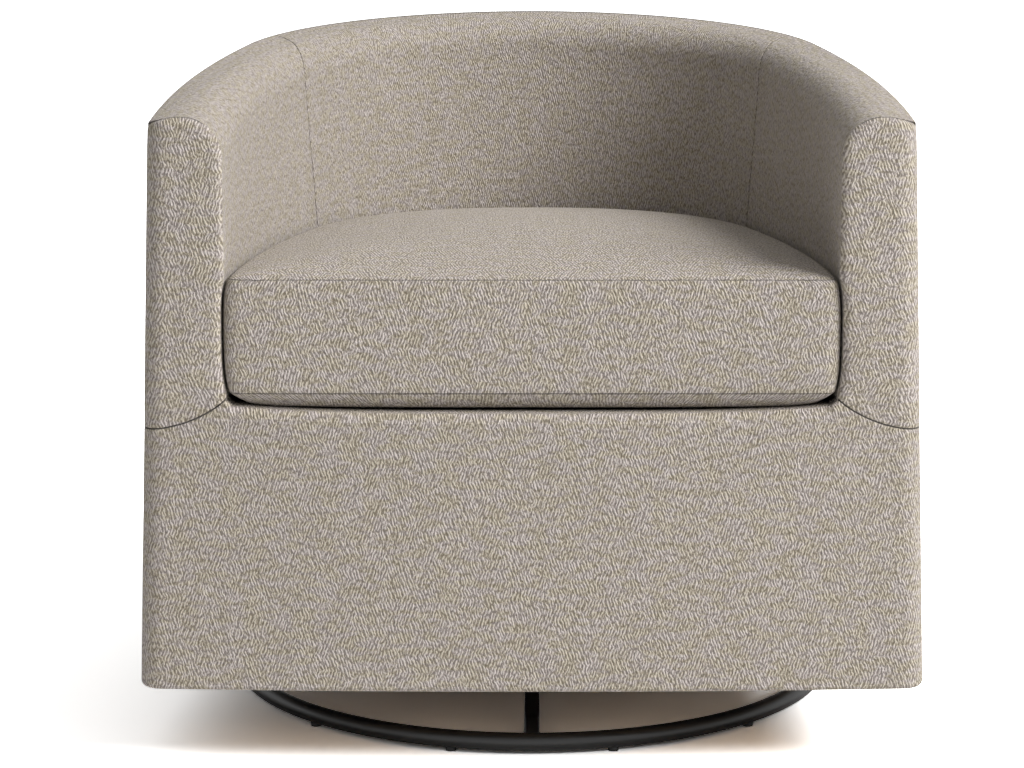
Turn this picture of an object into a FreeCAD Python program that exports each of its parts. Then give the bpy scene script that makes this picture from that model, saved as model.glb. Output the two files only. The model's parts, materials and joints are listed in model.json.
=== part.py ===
import FreeCAD, Part
import math
import os

# Barrel swivel glider chair: an upholstered tub on a four-link glider, a swivel bearing and a ring base.
# Millimetres. The origin is on the floor under the swivel axis, +Z is up and the sitter faces -Y.

# Outside of the upholstered body
body_depth = 776.0
arm_half_width = 371.2
side_flare = 22.2
back_radius = 325.0
skirt_height = 84.0
rim_front_height = 652.0
rim_back_height = 708.0
front_bow = 10.0
corner_radius = 22.0
cover_thickness = 6.0

# Rolled rim, measured in from its outer seam and up from it, with the outer edge in shares of the crown
arm_crown_in = 36.0
arm_crown_rise = 6.5
arm_width = 73.0
arm_roll_drop = 34.0
back_crown_in = 22.0
back_crown_rise = -5.0
back_width = 60.0
back_roll_drop = 42.0
back_seam_angle = 22.0
rim_edge_in = 0.4
arm_edge_rise = 0.66
back_edge_rise = 0.26
arm_pad_steps = 5
back_pad_steps = 8

# Inside of the tub at the seat
inside_half_width = 300.0
back_thickness = 108.8
inside_back_radius = 255.0
pad_thickness = 32.0

# Front panel and the seams under the arm fronts
front_top_height = 370.0
arm_seam_height = 350.0
arm_seam_rise = 31.0
front_roll_radius = 9.0

# Seat deck and loose cushion, measured up from the deck, and the depth from its front edge to the platform
seat_build_depth = 58.0
seat_pitch = 1.5
deck_thickness = 5.0
cushion_low_seam = 16.0
cushion_top_seam = 129.0
cushion_crown = 147.0
cushion_bulge = 2.0
cushion_sole_inset = 24.0
cushion_turn_inset = 9.6
cushion_turn_height = 5.3
cushion_corner_radius = 26.0
cushion_setback = 8.0
crown_plateau_inset = 170.0
crown_steps = (0.0, 0.25, 0.5, 1.0)

# Timber frame
board_thickness = 18.0
frame_reach = 39.5
bottom_frame_width = 52.0
bottom_frame_rise = 4.0
rim_rail_drop = 22.0
rib_thickness = 18.0
lower_rib_reach = 56.0
lower_rib_place = 0.55
lower_rib_angle = 68.0
lower_rib_setback = 23.2
upper_rib_place = 0.7
upper_rib_angles = (35.0, 72.0)
arm_post_depth = 45.0
opening_half_width = 215.0
opening_front_margin = 38.0
opening_rear_margin = 8.0
opening_corner = 30.0
spring_rail_depth = 30.0
front_rail_half_length = 262.0
rear_rail_half_length = 180.0
dust_cover_thickness = 1.0
cross_rail_end_gap = 5.0
cross_rail_width = 70.0
cross_rail_height = 22.0

# Sinuous springs
spring_wire_radius = 1.8
spring_spacing = 80.0
spring_count = 5
spring_half_loops = 13
spring_half_width = 30.0
spring_front = 24.0
spring_rear_inset = 95.0
clip_wall = 1.4
clip_length = 20.0

# Ring base
ring_radius = 322.0
ring_tube_radius = 9.5
glide_protrusion = 3.0
glide_radius = 5.5
glide_cup = 3.5
glide_count = 12
base_arm_size = 16.0
base_arm_corner = 2.0
base_arm_bend_radius = 60.0
base_arm_inner_bend = 85.0
base_arm_outer_bend = 255.0

# Hub and swivel bearing
hub_radius = 30.0
hub_top = 98.0
hub_height = 38.0
hub_flange_radius = 58.0
hub_flange_thickness = 6.0
base_arm_drop = 23.0
race_inner_radius = 38.0
race_outer_radius = 56.0
race_thickness = 5.0
race_gap = 2.0
ball_radius = 4.0
ball_count = 24
ball_clearance = 0.15
kingpin_radius = 8.0
kingpin_head_radius = 14.0
kingpin_head_height = 9.0
washer_radius = 17.0
washer_thickness = 3.0
nut_radius = 14.0
nut_height = 12.0

# Swivel plate and glider brackets
swivel_plate_half_length = 70.0
swivel_plate_thickness = 4.0
bracket_face = 144.0
bracket_thickness = 4.0
bracket_foot_width = 44.0
bracket_half_length = 118.0
bracket_web_margin = 7.3
bracket_head_radius = 16.0
bracket_hole_radius = 24.0
bracket_bolt_spacing = 90.0
bracket_bolt_radius = 4.0

# Glider links, pivots and rails
pivot_half_spacing = 100.0
link_length = 105.0
link_thickness = 6.0
link_half_width = 11.0
link_end_radius = 14.0
link_gap = 4.0
bush_radius = 9.0
bush_proud = 0.3
pin_radius = 6.0
pin_head_radius = 9.0
pin_head_thickness = 3.0
pin_collar_radius = 8.0
pin_collar_thickness = 1.5
glide_limit = 28.0
bumper_radius = 9.0
bumper_stem_radius = 4.0
bumper_reach = 70.0
rail_thickness = 3.0
rail_flange_width = 47.0
rail_half_length = 155.0
rail_web_height = 40.0
rail_leg_radius = 15.0
rail_headroom = 10.0
mount_bolt_x = 183.0
mount_bolt_offset = 20.0
mount_bolt_radius = 4.0
mount_bolt_head_radius = 7.5
mount_bolt_head_height = 5.0
tee_nut_flange_radius = 10.0
tee_nut_flange_thickness = 2.0
tee_nut_barrel_radius = 5.5
tee_nut_barrel_length = 11.0

# Clearances, and how far a cutter runs past the face it cuts
running_clearance = 0.05
seat_clearance = 0.3
soft_clearance = 0.5
cut_past = 1.0

# Heights and places that follow from the sizes above
y_front = -body_depth / 2
front_plane = y_front + front_bow + corner_radius
inside_depth = body_depth - side_flare - back_thickness
seat_depth = y_front + inside_depth - front_plane
spring_half_loop = (seat_depth - spring_rear_inset - spring_front) / spring_half_loops
board_back = front_plane + board_thickness
ring_height = glide_protrusion + ring_tube_radius
bearing_top = hub_top + 2 * race_thickness + race_gap
swivel_plate_top = bearing_top + swivel_plate_thickness
platform_top = front_top_height - seat_build_depth
platform_bottom = platform_top - board_thickness
cross_rail_top = platform_bottom - dust_cover_thickness
cross_rail_bottom = cross_rail_top - cross_rail_height
rail_flange_bottom = cross_rail_bottom - rail_thickness
upper_pivot_height = rail_flange_bottom - rail_headroom - bracket_head_radius
lower_pivot_height = upper_pivot_height - link_length
bottom_frame_low = skirt_height + bottom_frame_rise
bottom_frame_high = bottom_frame_low + board_thickness
link_inner = bracket_face + link_gap
link_outer = link_inner + link_thickness
rail_face = link_outer + link_gap
frame_face = cover_thickness + soft_clearance
pad_back = frame_reach + soft_clearance
rim_rail_low = rim_rail_drop + board_thickness
FAR = 2 * body_depth


def vec(x, y, z=0.0):
    return FreeCAD.Vector(x, y, z)


def line(start, end):
    return Part.LineSegment(start, end).toShape()


def arc(start, middle, end):
    return Part.Arc(start, middle, end).toShape()


def bar(x0, x1, y0, y1, z0, z1):
    return Part.makeBox(x1 - x0, y1 - y0, z1 - z0, vec(x0, y0, z0))


def prism(points, travel):
    face = Part.Face(Part.makePolygon(points + [points[0]]))
    return face.extrude(travel)


def rod(radius, x0, x1, y, z):
    """Cylinder along X."""
    return Part.makeCylinder(radius, x1 - x0, vec(x0, y, z), vec(1, 0, 0))


def post(radius, z0, z1, x=0.0, y=0.0):
    """Cylinder along Z."""
    return Part.makeCylinder(radius, z1 - z0, vec(x, y, z0))


def mirrored(shape):
    return shape.mirror(vec(0, 0, 0), vec(1, 0, 0))


def turned(shape, degrees):
    copy = shape.copy()
    copy.rotate(vec(0, 0, 0), vec(0, 0, 1), degrees)
    return copy


def group(shapes):
    return Part.makeCompound(shapes)


def fused(shapes):
    return shapes[0].fuse(shapes[1:]).removeSplitter()


def mix(first, second, share):
    return first + (second - first) * share


def save(name, shape):
    shape.exportStep("parts/" + name + ".step")


class Barrel:
    """U-shaped plan curve: side arcs leave the front square on and run tangent into one back arc."""

    def __init__(self, half_width, front, back, radius):
        self.half_width = half_width
        self.front = front
        self.back = back
        self.radius = radius
        reach = back - radius - front
        self.side_radius = (half_width ** 2 + reach ** 2 - radius ** 2) / (2 * (half_width - radius))
        self.centre_y = back - radius
        self.side_x0 = half_width - self.side_radius
        self.turn = math.atan2(reach, self.side_radius - half_width)

    def offset(self, distance):
        return Barrel(self.half_width + distance, self.front, self.back + distance, self.radius + distance)

    def side_x(self, y):
        return self.side_x0 + math.sqrt(self.side_radius ** 2 - (y - self.front) ** 2)

    def on_side(self, angle, z=0.0):
        return vec(self.side_x0 + self.side_radius * math.cos(angle),
                   self.front + self.side_radius * math.sin(angle), z)

    def on_back(self, angle, z=0.0):
        return vec(self.radius * math.cos(angle), self.centre_y + self.radius * math.sin(angle), z)

    def distance(self, x, y):
        """How far a point lies outside the curve, negative inside."""
        if math.atan2(y - self.centre_y, abs(x)) >= self.turn:
            return math.hypot(x, y - self.centre_y) - self.radius
        return math.hypot(abs(x) - self.side_x0, y - self.front) - self.side_radius

    def edges(self, y_start, z):
        """Right side, back and left side, from one front end to the other."""
        start = math.asin((y_start - self.front) / self.side_radius)
        right = [self.on_side(angle, z) for angle in (start, (start + self.turn) / 2, self.turn)]
        left = [vec(-p.x, p.y, p.z) for p in reversed(right)]
        return [arc(*right), arc(right[-1], vec(0, self.back, z), left[0]), arc(*left)]

    def outline(self, y_start, z):
        """Closed D: the curve and a straight front."""
        edges = self.edges(y_start, z)
        front = line(edges[-1].Vertexes[-1].Point, edges[0].Vertexes[0].Point)
        return Part.Wire(edges + [front])


body = Barrel(arm_half_width, y_front, body_depth / 2 - side_flare, back_radius)
inside = Barrel(inside_half_width, y_front, y_front + inside_depth, inside_back_radius)


def flare_at(z):
    return side_flare * (rim_back_height - z) / (rim_back_height - skirt_height)


def rim_height(y):
    return mix(rim_front_height, rim_back_height, (y - y_front) / body_depth)


def layer(depth, z0, z1, y_start=y_front):
    """Solid D between two heights whose wall lies a given depth inside the body's outer face."""
    wires = [body.offset(flare_at(z) - depth).outline(y_start, z) for z in (z0, z1)]
    return Part.makeLoft(wires, True, True)


def under_rim(drop):
    """Everything below the rim's sloping plane, lowered by a drop."""
    ends = [vec(-FAR, y, rim_height(y) - drop) for y in (-FAR, FAR)]
    feet = [vec(-FAR, y, -FAR) for y in (FAR, -FAR)]
    return prism(ends + feet, vec(2 * FAR, 0, 0))


def side_station(y):
    """Point on the right side of the rim and the way in from it."""
    angle = math.asin((y - body.front) / body.side_radius)
    return body.on_side(angle), vec(-math.cos(angle), -math.sin(angle))


def back_station(angle):
    return body.on_back(angle), vec(-math.cos(angle), -math.sin(angle))


def outer_seam(point, inward):
    """The rim's outer seam at a station, on the flared face."""
    height = rim_height(point.y)
    seam = point - inward * flare_at(height)
    return vec(seam.x, seam.y, height)


def depth_to_inside(seam, inward):
    """Distance from the outer seam to the inside of the tub at the seat."""
    near, far = 0.0, inside_depth / 2
    while far - near > 0.001:
        half = (near + far) / 2
        if inside.distance(seam.x + inward.x * half, seam.y + inward.y * half) > 0:
            near = half
        else:
            far = half
    return near


def roll_points(share):
    """Rolled top from the outer seam over the crown to the inner face, as (depth, height) pairs."""
    crown_in = mix(arm_crown_in, back_crown_in, share)
    crown_rise = mix(arm_crown_rise, back_crown_rise, share)
    width = mix(arm_width, back_width, share)
    drop = mix(arm_roll_drop, back_roll_drop, share)
    bulge = math.sqrt(0.5)
    shoulder = (crown_in + (width - crown_in) * bulge, crown_rise - (crown_rise + drop) * (1 - bulge))
    edge = (crown_in * rim_edge_in, crown_rise * mix(arm_edge_rise, back_edge_rise, share))
    return [(0.0, 0.0), edge, (crown_in, crown_rise), shoulder, (width, -drop)]


def pad_section(station, share, inward=None):
    """Upright section of the inside pad: rolled rim, inner face, and the back that lies on the frame."""
    point, way = station
    way = inward or way
    seam = outer_seam(point, way)
    low = depth_to_inside(seam, way)
    foot = platform_top + seat_clearance - seam.z

    def at(depth, height):
        return seam + way * depth + vec(0, 0, height)

    roll = [at(*pair) for pair in roll_points(share)]
    under = soft_clearance - rim_rail_drop
    rest = [at(low, foot), at(max(pad_back, low - pad_thickness), foot), at(pad_back, -rim_rail_low),
            at(pad_back, under), at(frame_face, under), at(frame_face, 0.0), roll[0]]
    edges = [arc(*roll[:3]), arc(*roll[2:])]
    edges += [line(a, b) for a, b in zip([roll[-1]] + rest[:-1], rest)]
    return Part.Wire(edges)


def arm_share(y):
    """0 at the arm front, 1 where the back panel starts."""
    end = body.on_back(math.radians(back_seam_angle)).y
    share = (y - front_plane) / (end - front_plane)
    return share * share * (3 - 2 * share)


def inside_arm_pad():
    seam_angle = math.radians(back_seam_angle)
    sections = [pad_section(side_station(front_plane), 0.0, vec(-1, 0, 0))]
    side_end = body.on_back(body.turn).y
    for i in range(1, arm_pad_steps):
        y = mix(front_plane, side_end, i / arm_pad_steps)
        sections.append(pad_section(side_station(y), arm_share(y)))
    sections.append(pad_section(back_station(body.turn), arm_share(side_end)))
    sections.append(pad_section(back_station(seam_angle), 1.0))
    return Part.makeLoft(sections, True, False)


def inside_back_pad():
    seam_angle = math.radians(back_seam_angle)
    angles = [mix(seam_angle, math.pi - seam_angle, i / back_pad_steps) for i in range(back_pad_steps + 1)]
    return Part.makeLoft([pad_section(back_station(angle), 1.0) for angle in angles], True, False)


def outside_panels():
    """Cover on the outside, split at the two back seams into right side, back and left side."""
    top = rim_back_height + corner_radius
    shell = layer(0, skirt_height, top, front_plane)
    shell = shell.cut(layer(cover_thickness, skirt_height - cut_past, top + cut_past, front_plane))
    shell = shell.common(under_rim(seat_clearance))
    reach = FAR / math.tan(math.radians(back_seam_angle))
    far_y = body.centre_y + FAR
    sector = prism([vec(0, body.centre_y), vec(reach, far_y), vec(-reach, far_y)], vec(0, 0, FAR))
    sides = shell.cut(sector)
    right = sides.common(bar(0, FAR, -FAR, FAR, 0, FAR))
    return right, shell.common(sector)


def front_block():
    """Bowed front with rounded upright corners, from the skirt to over the arms."""
    wires = []
    for z in (skirt_height, rim_back_height):
        side = body.offset(flare_at(z)).side_x(front_plane)
        start = side - corner_radius
        low = y_front + front_bow
        lean = corner_radius * math.sqrt(0.5)
        bend = vec(start + lean, front_plane - lean, z)
        edges = [arc(vec(-start, low, z), vec(0, y_front, z), vec(start, low, z)),
                 arc(vec(start, low, z), bend, vec(side, front_plane, z)),
                 line(vec(side, front_plane, z), vec(-side, front_plane, z)),
                 arc(vec(-side, front_plane, z), vec(-bend.x, bend.y, z), vec(-start, low, z))]
        wires.append(Part.Wire(edges))
    return Part.makeLoft(wires, True, True)


def arm_seam_points():
    """Curved seam under the arm front: outer end, middle, inner end."""
    centre_x = arm_half_width + flare_at(arm_seam_height)
    reach = centre_x - inside_half_width
    radius = (reach ** 2 + arm_seam_rise ** 2) / (2 * arm_seam_rise)
    centre_z = arm_seam_height + radius
    sweep = 2 * math.atan2(arm_seam_rise, reach)
    return [vec(centre_x - radius * math.sin(angle), y_front - cut_past,
                centre_z - radius * math.cos(angle)) for angle in (0, sweep / 2, sweep)]


def front_panel():
    """Full-width front cover that runs up under both arm fronts, with a rolled top edge."""
    outer, middle, inner = arm_seam_points()
    y = outer.y
    top = front_top_height
    wide = arm_half_width + 2 * side_flare
    corners = [inner, outer, vec(wide, y, outer.z), vec(wide, y, skirt_height)]
    right = [line(vec(inner.x, y, top), inner), arc(inner, middle, outer)]
    right += [line(a, b) for a, b in zip(corners[1:], corners[2:])]
    left = [mirrored(edge) for edge in right]
    across = [line(vec(-wide, y, skirt_height), vec(wide, y, skirt_height)),
              line(vec(-inner.x, y, top), vec(inner.x, y, top))]
    wire = Part.Wire(Part.__sortEdges__(right + left + across))
    solid = Part.Face(wire).extrude(vec(0, front_plane - y, 0)).common(front_block())
    lip = [edge for edge in solid.Edges
           if edge.Length > inside_half_width and edge.CenterOfMass.y < front_plane - cut_past
           and abs(edge.CenterOfMass.z - top) < 0.01]
    return solid.makeFillet(front_roll_radius, lip)


def arm_front():
    """Padded end of the right arm, with the rim's rolled outline and the curved seam below."""
    outer, middle, inner = arm_seam_points()
    point, _ = side_station(front_plane)
    seam = outer_seam(point, vec(-1, 0, 0))
    roll = [vec(seam.x - depth, outer.y, seam.z + height) for depth, height in roll_points(0.0)]
    wide = arm_half_width + 2 * side_flare
    edges = [line(vec(wide, outer.y, outer.z), outer), arc(outer, middle, inner), line(inner, roll[4]),
             arc(roll[4], roll[3], roll[2]), arc(roll[2], roll[1], roll[0]),
             line(roll[0], vec(wide, outer.y, roll[0].z)),
             line(vec(wide, outer.y, roll[0].z), vec(wide, outer.y, outer.z))]
    solid = Part.Face(Part.Wire(edges)).extrude(vec(0, front_plane - outer.y, 0))
    return solid.common(front_block())


def on_seat(shape):
    """From the deck's own plane, with its front edge on X, to the pitched seat."""
    shape.rotate(vec(0, 0, 0), vec(1, 0, 0), -seat_pitch)
    shape.translate(vec(0, front_plane, front_top_height))
    return shape


def seat_outline_curve():
    return Barrel(inside_half_width, y_front - front_plane, seat_depth, inside_back_radius)


def seat_deck():
    curve = seat_outline_curve().offset(-3 * soft_clearance)
    face = Part.Face(curve.outline(soft_clearance, -deck_thickness))
    return on_seat(face.extrude(vec(0, 0, deck_thickness)))


def cushion_outline(inset, z):
    """D-shaped level of the cushion with two rounded front corners."""
    curve = seat_outline_curve().offset(-cushion_bulge - soft_clearance - inset)
    front = y_front + cushion_setback - front_plane + inset
    radius = cushion_corner_radius
    edges = curve.edges(front + radius, z)
    right = edges[0].Vertexes[0].Point
    left = vec(-right.x, right.y, z)
    lean = radius * (1 - math.sqrt(0.5))
    nose = vec(right.x - radius, front, z)
    bend = vec(right.x - lean, front + lean, z)
    corner = arc(nose, bend, right)
    other = arc(left, vec(-bend.x, bend.y, z), vec(-nose.x, front, z))
    return Part.Wire([corner] + edges + [other, line(vec(-nose.x, front, z), nose)])


def seat_cushion():
    """Loose box cushion: flat sole, swelling side band between two seams, crowned top."""
    middle = (cushion_low_seam + cushion_top_seam) / 2
    crown = cushion_crown - cushion_top_seam
    sole = [(cushion_sole_inset, seat_clearance), (cushion_turn_inset, cushion_turn_height),
            (0.0, cushion_low_seam)]
    band = [(0.0, cushion_low_seam), (-cushion_bulge, middle), (0.0, cushion_top_seam)]
    top = [(crown_plateau_inset * share, cushion_top_seam + crown * (1 - (1 - share) ** 3))
           for share in crown_steps]
    lofts = []
    for levels in (sole, band, top):
        wires = [cushion_outline(*level) for level in levels]
        lofts.append(Part.makeLoft(wires, True, False, False, 3))
    return on_seat(lofts[0].fuse(lofts[1:]))


def behind(y, shape):
    return shape.common(bar(-FAR, FAR, y, FAR, -FAR, FAR))


def rib(station, reach, z0, z1):
    """Upright board square to the outer face."""
    point, way = station
    across = vec(-way.y, way.x) * (rib_thickness / 2)
    start = point - way * side_flare
    end = point + way * (reach + side_flare)
    corners = [start - across, end - across, end + across, start + across]
    corners = [vec(p.x, p.y, z0) for p in corners]
    board = prism(corners, vec(0, 0, z1 - z0)).common(layer(frame_face, z0, z1))
    return board.cut(layer(reach, z0 - cut_past, z1 + cut_past))


def both_sides(shapes):
    return group(shapes + [mirrored(shape) for shape in shapes])


def bottom_frame():
    ring = layer(frame_face, bottom_frame_low, bottom_frame_high, board_back)
    hole = layer(frame_face + bottom_frame_width, bottom_frame_low - cut_past, bottom_frame_high + cut_past)
    return ring.cut(behind(board_back + bottom_frame_width, hole))


def lower_ribs():
    places = [side_station(mix(front_plane, body.centre_y, lower_rib_place))]
    behind_rail = mount_bolt_spread() + cross_rail_width / 2 + lower_rib_setback
    turns = [math.asin((behind_rail - body.centre_y) / body.radius), math.radians(lower_rib_angle)]
    places += [back_station(turn) for turn in turns]
    ribs = [rib(place, lower_rib_reach, bottom_frame_high, cross_rail_top) for place in places]
    corner = layer(frame_face, bottom_frame_high, cross_rail_top)
    corner = corner.cut(layer(lower_rib_reach, bottom_frame_high - cut_past, cross_rail_top + cut_past))
    ribs.append(corner.common(bar(0, FAR, board_back, board_back + arm_post_depth, 0, FAR)))
    return both_sides(ribs)


def upper_ribs():
    places = [side_station(mix(front_plane, body.centre_y, upper_rib_place))]
    places += [back_station(math.radians(angle)) for angle in upper_rib_angles]
    ribs = [rib(place, frame_reach, platform_top, rim_back_height) for place in places]
    return both_sides([shape.common(under_rim(rim_rail_low)) for shape in ribs])


def arm_post():
    wall = layer(frame_face, platform_top, rim_back_height, front_plane)
    wall = wall.cut(layer(frame_reach, platform_top - cut_past, rim_back_height + cut_past))
    wall = wall.common(bar(0, FAR, front_plane, front_plane + arm_post_depth, 0, FAR))
    return wall.common(under_rim(rim_rail_low))


def rim_rail():
    low, high = rim_front_height / 2, rim_back_height + corner_radius
    wall = layer(frame_face, low, high, front_plane).cut(layer(frame_reach, low - cut_past, high + cut_past))
    return wall.common(under_rim(rim_rail_drop)).cut(under_rim(rim_rail_low))


def front_board():
    wide = layer(frame_face, bottom_frame_low, platform_top, front_plane)
    wide = wide.common(bar(-FAR, FAR, front_plane, board_back, 0, FAR))
    tongue = inside_half_width - 2 * corner_radius
    top = front_top_height - front_roll_radius - deck_thickness
    return fused([wide, bar(-tongue, tongue, front_plane, board_back, platform_top - cut_past, top)])


def seat_platform():
    plate = layer(frame_face, platform_bottom, platform_top, board_back)
    near = board_back + opening_front_margin
    far = spring_rail_near(spring_rear()) - opening_rear_margin
    hole = bar(-opening_half_width, opening_half_width, near, far,
               platform_bottom - cut_past, platform_top + cut_past)
    uprights = [edge for edge in hole.Edges if edge.BoundBox.ZLength > board_thickness]
    return plate.cut(hole.makeFillet(opening_corner, uprights))


def wire_drop():
    """Depth of a spring's wire centre under the deck's top."""
    return deck_thickness + seat_clearance + clip_wall + spring_wire_radius


def spring_end_height(place):
    """Height of the timber under a spring end, given its distance along the deck."""
    lean = math.radians(seat_pitch)
    centre = front_top_height - place * math.sin(lean) - wire_drop() * math.cos(lean)
    return centre - spring_wire_radius - clip_wall - seat_clearance


def spring_rail_near(place):
    """Front face of the rail under a spring end."""
    lean = math.radians(seat_pitch)
    y = front_plane + place * math.cos(lean) - wire_drop() * math.sin(lean)
    return max(board_back, y - spring_rail_depth / 2)


def spring_rail(place, half_length):
    near = spring_rail_near(place)
    top = spring_end_height(place + spring_rail_depth / 2)
    return bar(-half_length, half_length, near, near + spring_rail_depth, platform_top, top)


def spring_rear():
    return spring_front + spring_half_loops * spring_half_loop


def sinuous_spring(x):
    """Zigzag wire: bars across, joined by half-circle turns."""
    radius = spring_half_loop / 2
    half = spring_half_width - radius
    z = -wire_drop()
    edges = []
    for i in range(spring_half_loops + 1):
        y = spring_front + i * spring_half_loop
        way = 1 if i % 2 == 0 else -1
        start, end = vec(x - way * half, y, z), vec(x + way * half, y, z)
        edges.append(line(start, end))
        if i < spring_half_loops:
            turn = vec(x + way * (half + radius), y + radius, z)
            edges.append(arc(end, turn, vec(end.x, y + spring_half_loop, z)))
    first = edges[0].Vertexes[0].Point
    section = Part.Wire(Part.makeCircle(spring_wire_radius, first, vec(1, 0, 0)))
    return Part.Wire(edges).makePipeShell([section], True, False)


def spring_clip(x, y):
    ring = rod(spring_wire_radius + clip_wall, x - clip_length / 2, x + clip_length / 2, y, -wire_drop())
    bore = rod(spring_wire_radius + running_clearance, x - clip_length, x + clip_length, y, -wire_drop())
    return ring.cut(bore)


def spring_places():
    return [(i - (spring_count - 1) / 2) * spring_spacing for i in range(spring_count)]


def build_frame():
    save("bottom_frame", bottom_frame())
    save("seat_platform", seat_platform())
    save("front_board", front_board())
    save("lower_ribs", lower_ribs())
    save("upper_ribs", upper_ribs())
    save("arm_post_right", arm_post())
    save("arm_post_left", mirrored(arm_post()))
    save("rim_rail", rim_rail())
    save("dust_cover", layer(frame_face, cross_rail_top, platform_bottom, board_back + soft_clearance))


def build_seat():
    save("front_spring_rail", spring_rail(spring_front, front_rail_half_length))
    save("rear_spring_rail", spring_rail(spring_rear(), rear_rail_half_length))
    save("sinuous_springs", on_seat(group([sinuous_spring(x) for x in spring_places()])))
    ends = [(x, y) for x in spring_places() for y in (spring_front, spring_rear())]
    save("spring_clips", on_seat(group([spring_clip(x, y) for x, y in ends])))
    save("seat_deck", seat_deck())
    save("seat_cushion", seat_cushion())


def build_upholstery():
    save("inside_back_pad", inside_back_pad())
    arm = inside_arm_pad()
    save("inside_arm_pad_right", arm)
    save("inside_arm_pad_left", mirrored(arm))
    end = arm_front()
    save("arm_front_right", end)
    save("arm_front_left", mirrored(end))
    save("front_panel", front_panel())
    side, back = outside_panels()
    save("outside_arm_right", side)
    save("outside_arm_left", mirrored(side))
    save("outside_back", back)


def base_arm(ring, hub):
    """Square tube from the hub down to the ring, bent twice."""
    high, low = hub_top - base_arm_drop, ring_height
    tilt = math.atan2(high - low, base_arm_outer_bend - base_arm_inner_bend)
    tangent = base_arm_bend_radius * math.tan(tilt / 2)
    nib = base_arm_bend_radius * (1 / math.cos(tilt / 2) - 1)
    slope = vec(math.cos(tilt), 0, -math.sin(tilt))
    inner, outer = vec(base_arm_inner_bend, 0, high), vec(base_arm_outer_bend, 0, low)
    toward = vec(-math.sin(tilt / 2), 0, -math.cos(tilt / 2))
    stops = [vec(hub_radius / 2, 0, high), inner - vec(tangent, 0, 0), inner + slope * tangent,
             outer - slope * tangent, outer + vec(tangent, 0, 0), vec(ring_radius, 0, low)]
    path = Part.Wire([line(stops[0], stops[1]), arc(stops[1], inner + toward * nib, stops[2]),
                      line(stops[2], stops[3]), arc(stops[3], outer - toward * nib, stops[4]),
                      line(stops[4], stops[5])])
    half = base_arm_size / 2
    block = bar(stops[0].x - cut_past, stops[0].x, -half, half, high - half, high + half)
    block = block.makeFillet(base_arm_corner, [e for e in block.Edges if e.BoundBox.XLength > cut_past / 2])
    section = [face for face in block.Faces if face.BoundBox.XMin > stops[0].x - 0.01][0].OuterWire
    tube = path.makePipeShell([section], True, False)
    return tube.cut(hub).cut(ring)


def hub_blank():
    return fused([post(hub_radius, hub_top - hub_height, hub_top),
                  post(hub_flange_radius, hub_top - hub_flange_thickness, hub_top)])


def race(z):
    ring = post(race_outer_radius, z, z + race_thickness)
    ring = ring.cut(post(race_inner_radius, z - cut_past, z + race_thickness + cut_past))
    groove = Part.makeTorus(ball_track(), ball_radius + ball_clearance, vec(0, 0, ball_height()))
    return ring.cut(groove)


def ball_track():
    return (race_inner_radius + race_outer_radius) / 2


def ball_height():
    return hub_top + race_thickness + race_gap / 2


def floor_glides(ring):
    """Buttons that cup the tube from below."""
    button = post(glide_radius, 0, glide_protrusion + glide_cup, ring_radius)
    button = button.cut(ring)
    step = 360 / glide_count
    return group([turned(button, (i + 0.5) * step) for i in range(glide_count)])


def hexagon(radius, z, height):
    angles = [i * math.pi / 3 for i in range(6)]
    corners = [vec(radius * math.cos(angle), radius * math.sin(angle), z) for angle in angles]
    return prism(corners, vec(0, 0, height))


def build_base():
    ring = Part.makeTorus(ring_radius, ring_tube_radius, vec(0, 0, ring_height))
    hub = hub_blank()
    bore = post(kingpin_radius + running_clearance, hub_top - hub_height - cut_past, hub_top + cut_past)
    save("base_ring", ring)
    save("center_hub", hub.cut(bore))
    arm = base_arm(ring, hub)
    for i, name in enumerate(("right", "back", "left", "front")):
        save("base_arm_" + name, turned(arm, 90 * i))
    save("floor_glides", floor_glides(ring))
    save("lower_race", race(hub_top))
    ball = Part.makeSphere(ball_radius, vec(ball_track(), 0, ball_height()))
    save("bearing_balls", group([turned(ball, i * 360 / ball_count) for i in range(ball_count)]))


def kingpin():
    low = hub_top - hub_height - seat_clearance - washer_thickness - nut_height
    shank = post(kingpin_radius, low, swivel_plate_top + kingpin_head_height)
    return fused([shank, hexagon(kingpin_head_radius, swivel_plate_top, kingpin_head_height)])


def bracket_outline(x):
    """Upright plate with two rounded heads over a deep web."""
    y, z = bracket_half_length, swivel_plate_top
    web = bar(x, x + bracket_thickness, -y, y, z, bracket_web_top())
    heads = []
    for side in (-1, 1):
        centre = side * pivot_half_spacing
        radius = bracket_head_radius
        heads.append(bar(x, x + bracket_thickness, centre - radius, centre + radius, z, upper_pivot_height))
        heads.append(rod(radius, x, x + bracket_thickness, centre, upper_pivot_height))
    return fused([web] + heads)


def bumper_places():
    """Where a link's edge meets its stop at the end of the glide, beside the front and the rear link."""
    lean = math.radians(glide_limit)
    out = link_half_width + bumper_radius + seat_clearance
    y = -pivot_half_spacing + bumper_reach * math.sin(lean) + out * math.cos(lean)
    z = upper_pivot_height - bumper_reach * math.cos(lean) + out * math.sin(lean)
    return [(y, z), (-y, z)]


def bracket_web_top():
    """The web stands over its stops."""
    return bumper_places()[0][1] + bumper_radius + bracket_web_margin


def bracket_bolt_places():
    x = bracket_face - bracket_thickness - bracket_foot_width / 2
    return [(x, side * bracket_bolt_spacing / 2) for side in (-1, 1)]


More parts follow.
